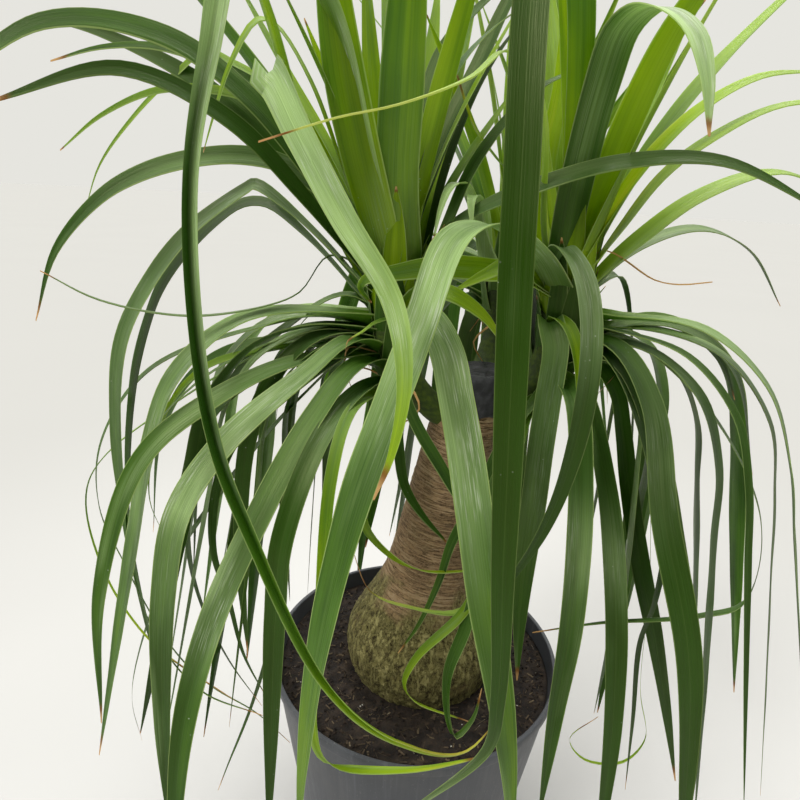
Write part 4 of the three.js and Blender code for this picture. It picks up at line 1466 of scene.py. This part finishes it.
RIGHT_SLIPS = (
    Strap(262, 18, 0, -4, (
        (21, 13, -11), (32, 0, -6), (44, -35, -7), (51, -70, -8), (55, -106, -8), (59, -152, -9),
        (63, -201, -8), (64, -254, -4),
    ), Green.SHEEN),
    Strap(290, 10, 0, -2, (
        (15, 16, -15), (26, 13, -12), (36, 0, -10), (41, -21, -8), (43, -42, -8),
    ), Green.LIME),
    Strap(225, 8, 0, -30, (
        (35, -40, 9), (63, -64, 6), (84, -104, 2), (97, -137, -5), (103, -166, -8), (113, -204, -16),
        (123, -229, -25),
    ), Green.PRIME),
    Strap(355, 10, -50, -6, (
        (19, -5, -1), (31, 7, -2), (47, 15, -3), (63, 18, -3), (81, 15, -4), (95, 8, -5), (114, -10, -5),
        (128, -36, -6),
    ), Green.SHEEN),
    Strap(300, 15, -20, -10, (
        (23, -13, 10), (40, -31, 20), (51, -58, 22), (57, -95, 30), (69, -160, 45), (82, -230, 65),
        (96, -308, 85), (107, -371, 99),
    ), Green.DEEP),
    Strap(330, 8, -30, -8, (
        (27, -3, 3), (52, -24, 1), (71, -56, -2), (85, -90, -1), (95, -121, 3), (98, -188, 2),
        (94, -225, 0), (101, -304, 4), (107, -380, 8),
    ), Green.DEEP),
    Strap(345, 15, -30, 16, (
        (12, 62, -10), (27, 98, -10), (45, 128, -12), (66, 151, -12), (93, 167, -9), (125, 171, -3),
    ), Green.BRIGHT),
    Strap(220, 5, 0, 18, (
        (27, 67, -3), (65, 130, 17), (105, 152, 36), (137, 154, 48), (170, 137, 60), (202, 124, 56),
        (226, 117, 47), (251, 107, 33),
    ), Green.YELLOWED),
    Strap(70, 13, 0, 12, (
        (-5, 33, 12), (-2, 73, 19), (3, 118, 24), (12, 163, 22), (18, 205, 24), (27, 241, 22),
    ), Green.BRIGHT),
    Strap(180, 16, 62, 10, (
        (32, 43, 10), (57, 46, 17), (92, 48, 35), (117, 45, 47), (138, 40, 49), (142, 34, 45),
        (135, 24, 39),
    ), Green.YOUNG),
    Strap(180, 11, 60, 15, ((37, 52, 17), (62, 45, 35), (83, 35, 47)), Green.LIME),
    Strap(330, 7, 0, -14, (
        (26, 7, 9), (97, -38, 39), (153, -122, 48), (156, -185, 38), (129, -193, 11), (68, -196, -36),
        (27, -206, -62),
    ), Green.PRIME),
    Strap(340, 5, 0, -16, (
        (21, -3, 13), (66, -63, 29), (93, -180, 28), (106, -303, 23), (118, -353, 22), (103, -374, 11),
        (72, -374, 0), (56, -350, -6), (76, -329, 6),
    ), Green.LIME),
    Strap(10, 3, 0, 20, ((22, 61, 1), (52, 45, -24), (63, 44, -36), (77, 48, -49)), Green.DRIED),
)

BACK_SLIPS = (
    Strap(215, 14, 0, 14, (
        (39, 38, 19), (61, 73, 23), (77, 86, 29), (91, 83, 34), (100, 69, 37), (104, 51, 37),
    ), Green.ALL_SHEEN),
    Strap(250, 12, 0, 14, (
        (47, 38, -8), (63, 69, -10), (79, 79, -12), (93, 74, -10), (100, 58, -6),
    ), Green.ALL_SHEEN),
    Strap(250, 7, 40, 20, (
        (6, 40, 0), (21, 85, 7), (47, 104, -7), (66, 120, -18), (77, 138, -25), (83, 150, -29),
        (87, 158, -34),
    ), Green.DRY_END),
)


SHEATH_GREENS = (Green.DEEP, Green.PRIME, Green.LIME, Green.BRIGHT)


class DrawnLeaf(Enum):
    """Kinds of drawn leaves: their widths, and how far they keep from other heads' leaves and their own's."""

    PACKED = ((14.0, 20.0), (22.0, 12.0))
    SLENDER = ((8.0, 14.0), (8.0, 4.0))
    NARROW = ((5.0, 11.0), (10.0, 6.0))


@dataclass
class Foliage:
    """Every leaf of the three heads: the placed ones, then the drawn ones that find room."""

    trunk: Trunk
    pot: Pot
    young_age: float = 0.26
    lowest_rise: float = -12.0
    golden_angle: float = 137.508
    golden_share: float = 0.618034
    pot_clearance: float = 14.0
    floor_clearance: float = 12.0
    front_y: float = -70.0
    front_half_width: float = 175.0
    front_top: float = 660.0
    steps: int = 9
    shortest_route: int = 4
    root_points: int = 4
    own_root_points: int = 8
    slender: int = 8
    sheath_count: int = 16
    curl_count: int = 4
    turn_tries: tuple[int, ...] = (0, 7, -7, 14, -14, 21, -21, 28, -28, 40, -40, 55, -55)
    blades: list[Blade] = field(default_factory=list)

    def world_route(self, plan: HeadPlan, root: float, turn: float, path: Sequence[Step]) -> list[Vector]:
        """Places a path of [reach, height, side] steps in the part's frame.

        Args:
            plan: The head that the leaf grows from.
            root: Height of the leaf's root against the crown point.
            turn: Compass turn that the leaf runs out along.
            path: The steps.

        Returns:
            The route's points, in millimetres.
        """
        crown = Vector(plan.crown)
        out = Vector((math.cos(math.radians(turn)), math.sin(math.radians(turn)), 0.0))
        aside = Vector((-out.y, out.x, 0.0))
        route = [crown + Vector((0, 0, root))]
        for reach, height, *side in path:
            route.append(crown + out * reach + aside * (side[0] if side else 0.0) + Vector((0, 0, height)))
        return route

    def arched_path(self, age: float, old_rise: float, draw: SeededDraw) -> list[Step]:
        """Draws a leaf's path: a young one stands and leans out, an old one leaves lower and hangs.

        Args:
            age: From 0, a young leaf, to 1, the oldest.
            old_rise: Angle in degrees at which the first of the old ones leaves the stem.
            draw: The head's row of draws.

        Returns:
            The steps of the path.
        """
        young = min(1.0, age / self.young_age)
        old = max(0.0, age - self.young_age) / (1 - self.young_age)
        rise = (blend(old_rise, self.lowest_rise, old) if old > 0 else blend(86, 62, young)) + draw(-6, 6)
        fall = (blend(-74, -88, old) if old > 0 else blend(76, 24, young)) + draw(-4, 4)
        length = (blend(480, 400, old) if old > 0 else blend(260, 340, young)) + draw(-40, 40)
        bend_end = blend(0.5, 0.32, old) if old > 0 else 0.85
        sway = draw(-28, 28)
        path: list[Step] = []
        reach = height = 0.0
        for i in range(1, self.steps + 1):
            angle = math.radians(blend(rise, fall, ease((i - 0.5) / self.steps, 0, bend_end)))
            reach += length / self.steps * math.cos(angle)
            height += length / self.steps * math.sin(angle)
            path.append((reach, height, sway * (i / self.steps) ** 2))
        return path

    def shortened(self, route: list[Vector]) -> list[Vector]:
        """Ends a route before the first point that would dip into the pot or the floor.

        Args:
            route: The leaf's points.

        Returns:
            The points that are kept.
        """
        for i, point in enumerate(route):
            near_pot = (
                math.hypot(point.x, point.y) < self.pot.rim_radius + self.pot_clearance
                and point.z < self.pot.height + self.pot_clearance
            )
            if i > 2 and (near_pot or point.z < self.floor_clearance):
                return route[:i]
        return route

    def clear_of_trunk(self, points: np.ndarray) -> bool:
        """Tells whether the hanging part of a leaf stays off the trunk.

        Args:
            points: The leaf's checked points.

        Returns:
            True if none comes near the trunk.
        """
        for x, y, z in points[self.root_points:]:
            if z <= self.trunk.top + self.pot_clearance:
                reach = self.trunk.radius(min(z, self.trunk.top)) + self.pot_clearance
                if math.hypot(x - self.trunk.centre(z).x, y) <= reach:
                    return False
        return True

    def clear_of_leaves(self, blade: Blade, other: float, own: float) -> bool:
        """Tells whether a leaf keeps its distance from the leaves of the other heads and of its own.

        Args:
            blade: The leaf.
            other: Distance from the other heads' leaves.
            own: Distance from its own head's leaves.

        Returns:
            True if it keeps both.
        """
        for leaf in self.blades:
            start = self.own_root_points if leaf.head == blade.head else 0
            away = np.linalg.norm(blade.checks[start:, None] - leaf.checks[None, start:], axis=2).min()
            if away <= (own if leaf.head == blade.head else other):
                return False
        return True

    def fits(self, blade: Blade, other: float, own: float) -> bool:
        """Tells whether a drawn leaf leaves the front open and touches neither the trunk nor another leaf.

        Args:
            blade: The leaf.
            other: Distance from the other heads' leaves.
            own: Distance from its own head's leaves.

        Returns:
            True if it fits.
        """
        x, y, z = blade.checks.T
        in_front = (y < self.front_y) & (np.abs(x) < self.front_half_width) & (z < self.front_top)
        clear = not in_front.any() and self.clear_of_trunk(blade.checks)
        return clear and self.clear_of_leaves(blade, other, own)

    def drawn_turn(self, plan: HeadPlan, index: int, age: float) -> float:
        """Gives a drawn leaf's compass turn: all round for a young one, else in the head's sector.

        Args:
            plan: Its head.
            index: Its number in the head.
            age: From 0, young, to 1, old.

        Returns:
            The turn in degrees.
        """
        if age < self.young_age:
            return plan.sector[0] + index * self.golden_angle
        return blend(plan.sector[0], plan.sector[1], (index * self.golden_share) % 1)

    def drawn_tint(self, age: float, seed: float) -> Tint:
        """Gives a drawn leaf's tint from its age and its own share of chance.

        Args:
            age: From 0, young, to 1, old.
            seed: Its share of chance.

        Returns:
            The tint.
        """
        young = 1 - ease(age, 0.05, 0.42)
        root = blend(0.32, 0.78, young) + 0.12 * (seed - 0.5)
        middle = blend(0.17, 0.6, young) + 0.2 * (seed - 0.5)
        # Old drawn leaves get some painted sheen, a whitish painted highlight, more for a higher share of
        # chance.
        pale = 0.1 + 0.4 * ease(seed, 0.55, 1.0) * (1 - young)
        return Tint(root, middle, middle + 0.05, pale, 0.006 + 0.03 * seed * (1 - young))

    def placed(self, head: int, strap: Strap, route: list[Vector], seed: float) -> Blade:
        """Makes a listed leaf.

        Args:
            head: Number of its head.
            strap: The leaf.
            route: Its points.
            seed: Its share of chance.

        Returns:
            The leaf on its route.
        """
        return Blade(
            head, strap.turn, strap.width, strap.twist, route, strap.green.value, seed, strap.twisting,
            strap.gleams, strap.pinch,
        )

    def grow(self) -> None:
        """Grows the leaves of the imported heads, in the same order and by the same draws."""
        count = 0
        for head, (plan, straps) in enumerate(zip(HEAD_PLANS, (LEFT_STRAPS, RIGHT_STRAPS, ()))):
            for strap in straps:
                count += 1
                route = self.world_route(plan, strap.root, strap.turn, strap.path)
                seed = (count * self.golden_share) % 1
                self.blades.append(self.placed(head, strap, route, seed))
        draws = [SeededDraw(plan.seed) for plan in HEAD_PLANS]
        for i in range(max(plan.drawn for plan in HEAD_PLANS)):
            for head, plan in enumerate(HEAD_PLANS):
                if i < plan.drawn:
                    age = (i / (plan.drawn - 1)) ** 1.25
                    self.draw_leaf(head, i, age, draws[head], DrawnLeaf.PACKED, 1.0)
        LOG.info("leaves of the packed heads: %d", len(self.blades))

    def fill(self) -> None:
        """Adds the placed leaves of the gaps, each heart's slender young ones and the narrow old ones."""
        before = len(self.blades)
        for head, slips in enumerate((LEFT_SLIPS, RIGHT_SLIPS, BACK_SLIPS)):
            for slip in slips:
                route = self.world_route(HEAD_PLANS[head], slip.root, slip.turn, slip.path)
                seed = (len(self.blades) * self.golden_share) % 1
                self.blades.append(self.placed(head, slip, route, seed))
        for head, plan in enumerate(HEAD_PLANS):
            draw = SeededDraw(plan.seed + 1000)
            for i in range(self.slender):
                self.draw_leaf(head, i, 0.02 * i, draw, DrawnLeaf.SLENDER, blend(0.6, 1.0, draw(0, 1)))
            for i in range(plan.narrow):
                age = blend(0.34, 1.0, i / (plan.narrow - 1))
                self.draw_leaf(head, i, age, draw, DrawnLeaf.NARROW, blend(0.6, 0.9, draw(0, 1)))
        LOG.info("leaves that fill the heads: %d", len(self.blades) - before)

    def draw_leaf(
        self, head: int, index: int, age: float, draw: SeededDraw, kind: DrawnLeaf, size: float,
    ) -> None:
        """Draws one leaf and keeps it if it finds room.

        Args:
            head: Number of its head.
            index: Its number in the head.
            age: From 0, young, to 1, old.
            draw: The head's row of draws.
            kind: Its kind, which gives its width and the distance that it keeps.
            size: Share of the full length.
        """
        plan = HEAD_PLANS[head]
        widths, clearances = kind.value
        path = [tuple(size * step for step in steps) for steps in self.arched_path(age, plan.rise, draw)]
        width, twist = draw(*widths), draw(-50, 50)
        root = blend(30, -34, age)
        seed = (len(self.blades) * self.golden_share) % 1
        for offset in self.turn_tries:
            turn = self.drawn_turn(plan, index, age) + offset
            route = self.shortened(self.world_route(plan, root, turn, path))
            if len(route) <= self.shortest_route:
                continue
            blade = Blade(head, turn, width, twist, route, self.drawn_tint(age, seed), seed)
            if self.fits(blade, *clearances):
                self.blades.append(blade)
                return

    def sheaths(self) -> None:
        """Adds the short broad leaf bases that clasp each stem, green above and dry at the lowest."""
        for head, plan in enumerate(HEAD_PLANS):
            draw = SeededDraw(plan.seed + 500)
            for i in range(self.sheath_count):
                low, lean, tall = blend(-46, 6, i / (self.sheath_count - 1)), draw(0.0, 1.0), draw(60, 104)
                path = (
                    (10, low + 4), (16, low + 0.3 * tall), (18 + 3 * lean, low + 0.6 * tall),
                    (19 + 8 * lean, low + 0.85 * tall), (21 + 18 * lean, low + tall),
                )
                turn = i * self.golden_angle
                route = self.world_route(plan, low, turn, path)
                green = SHEATH_GREENS[i * len(SHEATH_GREENS) // self.sheath_count]
                self.blades.append(Blade(head, turn, draw(13, 18), 0.0, route, green.value, draw(0, 1)))
            for _ in range(self.curl_count):
                low, turn = draw(-40, -10), draw(0, 360)
                path = (
                    (20, low + 8), (34, low + 10, draw(-8, 8)), (42, low - 2, draw(-16, 16)),
                    (38, low - 18, draw(-20, 20)),
                )
                route = self.world_route(plan, low, turn, path)
                self.blades.append(Blade(head, turn, 1.3, 0.0, route, Green.DRIED.value, draw(0, 1)))


@dataclass
class Row:
    """One row of a leaf: its middle, how far along it lies, and the directions across and up."""

    centre: Vector
    run: float
    share: float
    across: Vector
    upper: Vector


@dataclass
class BladeShape:
    """Turns a leaf's route into a thin channelled strap."""

    thickness: float = 0.7
    row: float = 7.0
    columns: int = 8
    narrow_columns: int = 4
    narrow_width: float = 9.0
    tip_share: float = 0.05
    # Strength of the painted sheen, a painted highlight, on arches whose upper face looks up.
    sheen: float = 0.26
    pinched: tuple[float, float] = (0.2, 0.46)
    full_pinch: float = 60.0
    # Where the painted sheen stripe on one half of a pinched leaf fades out, as shares of the length.
    sheen_stripe_end: tuple[float, float] = (0.5, 0.66)

    def centres(self, route: Sequence[Vector]) -> list[Vector]:
        """Gives the middle points of the leaf's rows, closer together where it is folded.

        Args:
            route: The leaf's points.

        Returns:
            The middle points.
        """
        made = []
        for k in range(len(route) - 1):
            length = (route[k + 1] - route[k]).length
            count = max(3, math.ceil(length / self.row))
            made += [span_point(route, k, j / count) for j in range(count)]
        made.append(route[-1].copy())
        return made

    def rows(self, blade: Blade) -> list[Row]:
        """Gives the leaf's rows from root to tip, turned by its twist.

        Args:
            blade: The leaf.

        Returns:
            The rows.
        """
        centres = self.centres(blade.route)
        last = len(centres) - 1
        run = [0.0]
        for a, b in zip(centres, centres[1:]):
            run.append(run[-1] + (b - a).length)
        turn = math.radians(blade.turn)
        flat = Vector((-math.sin(turn), math.cos(turn), 0.0))
        start, full, left = blade.twisting
        made = []
        for i, centre in enumerate(centres):
            share = run[i] / run[last]
            along = (centres[min(i + 1, last)] - centres[max(i - 1, 0)]).normalized()
            across = (flat - along * flat.dot(along)).normalized()
            twist = blade.twist * ease(share, start, full) * blend(1.0, left, ease(share, full, 0.85))
            across.rotate(Matrix.Rotation(-math.radians(twist), 3, along))
            made.append(Row(centre, run[i], share, across, along.cross(across)))
        return made

    def half_width(self, blade: Blade, row: Row) -> float:
        """Gives half the width at a row: broad clasping root, even strap, long taper.

        Args:
            blade: The leaf.
            row: The row.

        Returns:
            Half the width, in millimetres.
        """
        clasp = 1 + 0.28 * (1 - ease(row.run, 14.0, 60.0))
        taper = max(0.0, row.share - 0.5) / 0.5
        return blade.width * (clasp * (1 - (1 - self.tip_share) * taper ** 1.7)) / 2

    def fold(self, blade: Blade, row: Row) -> float:
        """Gives the angle in degrees that each half of the leaf is raised by.

        Args:
            blade: The leaf.
            row: The row.

        Returns:
            The angle.
        """
        root = 34 * (1 - ease(row.run, 10.0, 48.0))
        neck = 12 * (1 - ease(row.share, 0.05, 0.4))
        return root + neck + 4 + 9 * blade.seed + blade.pinch * ease(row.share, *self.pinched)

    def spot(self, blade: Blade, row: Row, u: float) -> Vector:
        """Gives a point of a row, in millimetres.

        Args:
            blade: The leaf.
            row: The row.
            u: Place across the leaf, from -1 at one margin to 1 at the other.

        Returns:
            The point.
        """
        half, fold = self.half_width(blade, row), math.radians(self.fold(blade, row))
        bent = math.sqrt(u * u + 0.02) - math.sqrt(0.02)
        ripple = math.sin(row.run / 17.0 + blade.seed * 40) * math.sin(row.run / 41.0 + blade.seed * 90)
        lift = half * math.sin(fold) * bent + 0.35 * ripple * u * abs(u) * half / 8
        sideways = 0.05 * half * math.sin(row.run / 47.0 + blade.seed * 70)
        return row.centre - row.across * (u * half * math.cos(fold) + sideways) + row.upper * lift

    def tone(self, tint: Tint, share: float) -> float:
        """Gives the green at a share of the length."""
        early, late = ease(share, tint.root_until - 0.3, tint.root_until), ease(share, 0.45, 1.0)
        return blend(blend(tint.root, tint.middle, early), tint.tip, late)

    def painted_sheen_level(self, blade: Blade, row: Row, u: float) -> float:
        """Gives how much painted sheen, a painted highlight, a point has: by tint, on the arch, at a gleam,
        on one half of a pinched leaf.

        Args:
            blade: The leaf.
            row: The row.
            u: Place across the leaf, from -1 to 1.

        Returns:
            The painted sheen, 1 at most.
        """
        tint, share = blade.tint, row.share
        fading = 1 - 0.95 * ease(share, tint.pale_until - tint.pale_fade, tint.pale_until)
        pale = tint.pale * ease(share, tint.pale_start, tint.pale_start + 0.14) * fading
        pale += tint.pale_end * ease(share, tint.pale_from, tint.pale_from + 0.1)
        # Painted highlight on the arch, where the upper face looks up towards the light.
        pale += self.sheen * ease(row.upper.z, 0.45, 0.95) * ease(row.run, 30.0, 70.0) * (0.5 + blade.seed)
        # Painted highlights at the gleams.
        pale += sum(light * math.exp(-(((share - at) / wide) ** 2)) for at, wide, light in blade.gleams)
        # Painted sheen stripe, a painted highlight, on one half of a pinched leaf.
        pale += blade.pinch / self.full_pinch * ease(-u, 0.1, 0.5) * (1 - ease(share, *self.sheen_stripe_end))
        return min(1.0, pale)

    def shape(self, mesh: bmesh.types.BMesh, blade: Blade) -> None:
        """Adds a leaf to a mesh.

        Args:
            mesh: An empty mesh with the layers that the leaf finish reads.
            blade: The leaf.
        """
        rows = self.rows(blade)
        last = len(rows) - 1
        columns = self.columns if blade.width > self.narrow_width else self.narrow_columns
        tone, pale, dry, seed = (mesh.verts.layers.float[name] for name in LEAF_NUMBERS)
        uv = mesh.loops.layers.uv[LEAF_MAP]
        grid = bmesh.ops.create_grid(mesh, x_segments=columns, y_segments=last, size=1.0)["verts"]
        spots: dict[bmesh.types.BMVert, tuple[float, float]] = {}
        for vert in grid:
            u, row = vert.co.x, rows[round((vert.co.y + 1) / 2 * last)]
            vert.co = self.spot(blade, row, u) * MM
            spots[vert] = ((u + 1) / 2, row.run * MM)
            vert[tone] = self.tone(blade.tint, row.share)
            # The painted sheen, a painted highlight, kept on the vertex.
            vert[pale] = self.painted_sheen_level(blade, row, u)
            vert[dry] = 1.0 if blade.tint.dried >= 1 else ease(row.share, 1 - 2.2 * blade.tint.dried, 1.0)
            vert[seed] = blade.seed
        faces = {face for vert in grid for face in vert.link_faces}
        for face in faces:
            for loop in face.loops:
                loop[uv].uv = spots[loop.vert]
        bmesh.ops.solidify(mesh, geom=list(faces), thickness=self.thickness * MM)


@dataclass
class Head:
    """One head: its leaves and the short stem that carries them."""

    number: int
    plan: HeadPlan
    stem_radii: Outline = ((-1, 12), (-0.4, 12.5), (0, 17), (0.25, 17), (0.6, 12), (1, 5))
    above_crown: float = 46.0
    sides: int = 40

    def stem_centre(self, height: float) -> Vector:
        """Gives the middle of the stem at a height, in millimetres.

        Args:
            height: Height in millimetres.

        Returns:
            The middle.
        """
        foot, crown = Vector(self.plan.foot), Vector(self.plan.crown)
        share = min(1.0, max(0.0, (height - foot.z) / (crown.z - foot.z)))
        return foot.lerp(crown, math.sin(share * math.pi / 2))

    def stem(self) -> bpy.types.Object:
        """Builds and dresses the stem.

        Returns:
            The stem.
        """
        foot, crown = self.plan.foot[2], self.plan.crown[2]
        profile = [(foot, 0.0)]
        for share, radius in self.stem_radii:
            profile.append((crown + share * (crown - foot if share < 0 else self.above_crown), radius))
        profile.append((crown + self.above_crown + 3.0, 0.0))
        mesh = bmesh.new()
        turned(mesh, smooth_profile(profile, 2.0), self.sides)
        for vert in mesh.verts:
            height = vert.co.z / MM
            level = noise.noise(Vector((vert.co.x * 60, vert.co.y * 60, height * 0.55)))
            vert.co += Vector((vert.co.x, vert.co.y, 0.0)) * 0.05 * level
            centre = self.stem_centre(height)
            vert.co += Vector((centre.x, centre.y, 0.0)) * MM
        return put_piece(mesh, self.plan.name.replace("head", "stem"), StemBark().make(), 180.0)

    def build(
        self, foliage: Foliage, shape: BladeShape, finish: bpy.types.Material,
    ) -> list[bpy.types.Object]:
        """Builds and dresses the head.

        Args:
            foliage: All leaves.
            shape: The maker of the leaves' meshes.
            finish: The leaves' material.

        Returns:
            The leaves of the head in one piece, and the stem.
        """
        made = Gathered(LEAF_NUMBERS, LEAF_MAP)
        for blade in foliage.blades:
            if blade.head == self.number:
                shape.shape(made.work, blade)
                made.pour()
        leaves = put_piece(made.whole, self.plan.name.replace("head", "leaves"), finish, 50.0)
        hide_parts(self.plan.name)
        return [leaves, self.stem()]


@dataclass
class Studio:
    """Camera at the photograph's viewing angle, soft lights and a plain pale floor."""

    camera_place: tuple[float, float, float] = (-0.024, -0.425, 0.566)
    pitch_down: float = 18.7
    roll: float = 3.0
    lens: float = 27.05
    sensor: float = 36.0
    floor_reach: float = 60.0
    air_code: str = "#e6e5df"
    front_level: float = 0.12
    back_level: float = 1.05
    zenith_level: float = 1.1
    air_light: Colour = (1.0, 0.995, 0.97, 1.0)
    suns: tuple[tuple[str, tuple[float, float, float], float, float], ...] = (
        ("window_light", (-0.75, -0.6, 0.95), 26.0, 2.1),
        ("overhead_light", (0.15, 0.45, 1.0), 24.0, 1.2),
    )

    def camera(self) -> None:
        """Places the camera."""
        data = bpy.data.cameras.new("camera")
        data.lens, data.sensor_width = self.lens, self.sensor
        data.clip_start, data.clip_end = 0.01, 100.0
        camera = bpy.data.objects.new("camera", data)
        tilt = Matrix.Rotation(math.radians(90 - self.pitch_down), 4, "X")
        roll = Matrix.Rotation(math.radians(self.roll), 4, "Z")
        camera.matrix_world = Matrix.Translation(self.camera_place) @ tilt @ roll
        bpy.context.scene.collection.objects.link(camera)
        bpy.context.scene.camera = camera

    def sun(self, name: str, towards: tuple[float, float, float], spread: float, power: float) -> None:
        """Adds a broad soft light that comes evenly from one side.

        Args:
            name: The light's name.
            towards: The way to it.
            spread: How broad it looks, in degrees.
            power: Its strength.
        """
        data = bpy.data.lights.new(name, "SUN")
        data.angle, data.energy = math.radians(spread), power
        sun = bpy.data.objects.new(name, data)
        sun.rotation_euler = Vector(towards).to_track_quat("Z", "Y").to_euler()
        bpy.context.scene.collection.objects.link(sun)

    def air(self) -> bpy.types.World:
        """Makes the air: plain and pale to look at, with a light that is stronger overhead and behind.

        Returns:
            The air.
        """
        world = bpy.data.worlds.new("studio_air")
        world.use_nodes = True
        nodes, links = world.node_tree.nodes, world.node_tree.links
        split = nodes.new("ShaderNodeSeparateXYZ")
        links.new(nodes.new("ShaderNodeTexCoord").outputs["Generated"], split.inputs[0])

        def eased(value: Socket, *numbers: float) -> bpy.types.Node:
            """Maps a range of a value onto another range, with a smooth step.

            Args:
                value: The value.
                numbers: Its range and the new one.

            Returns:
                The node.
            """
            node = nodes.new("ShaderNodeMapRange")
            node.interpolation_type = "SMOOTHSTEP"
            links.new(value, node.inputs[0])
            for socket, number in zip(node.inputs[1:5], numbers):
                socket.default_value = number
            return node

        depth = eased(split.outputs[1], -0.7, 0.3, self.front_level, self.back_level)
        rise = eased(split.outputs[2], 0.3, 0.95, 0.0, self.zenith_level)
        level = nodes.new("ShaderNodeMath")
        links.new(depth.outputs[0], level.inputs[0])
        links.new(rise.outputs[0], level.inputs[1])
        light = nodes["Background"]
        links.new(level.outputs[0], light.inputs["Strength"])
        plain = nodes.new("ShaderNodeBackground")
        plain.inputs["Color"].default_value = linear(self.air_code)
        mix = nodes.new("ShaderNodeMixShader")
        links.new(nodes.new("ShaderNodeLightPath").outputs["Is Camera Ray"], mix.inputs[0])
        links.new(light.outputs[0], mix.inputs[1])
        links.new(plain.outputs[0], mix.inputs[2])
        links.new(mix.outputs[0], nodes["World Output"].inputs[0])
        light.inputs["Color"].default_value = self.air_light
        return world

    def build(self) -> None:
        """Builds the floor, the lights and the camera."""
        mesh = bmesh.new()
        bmesh.ops.create_circle(mesh, cap_ends=True, segments=96, radius=self.floor_reach)
        data = bpy.data.meshes.new("studio_floor")
        mesh.to_mesh(data)
        mesh.free()
        data.materials.append(StudioFloor().make())
        floor = bpy.data.objects.new("studio_floor", data)
        bpy.context.scene.collection.objects.link(floor)
        bpy.context.scene.world = self.air()
        for name, towards, spread, power in self.suns:
            self.sun(name, towards, spread, power)
        bpy.context.scene.view_settings.view_transform = "Standard"
        self.camera()


def main() -> None:
    """Builds the dressed part in order."""
    logging.basicConfig(level=logging.INFO, format="%(message)s")
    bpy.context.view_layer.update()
    Studio().build()
    pot, trunk = Pot(), Trunk()
    pot.build()
    trunk.build()
    Soil(pot, trunk).build()
    WoundSeal(trunk).build()
    foliage = Foliage(trunk, pot)
    foliage.grow()
    foliage.fill()
    foliage.sheaths()
    finish = StrapLeaf().make()
    for number, plan in enumerate(HEAD_PLANS):
        Head(number, plan).build(foliage, BladeShape(), finish)


if __name__ == "__main__":
    main()
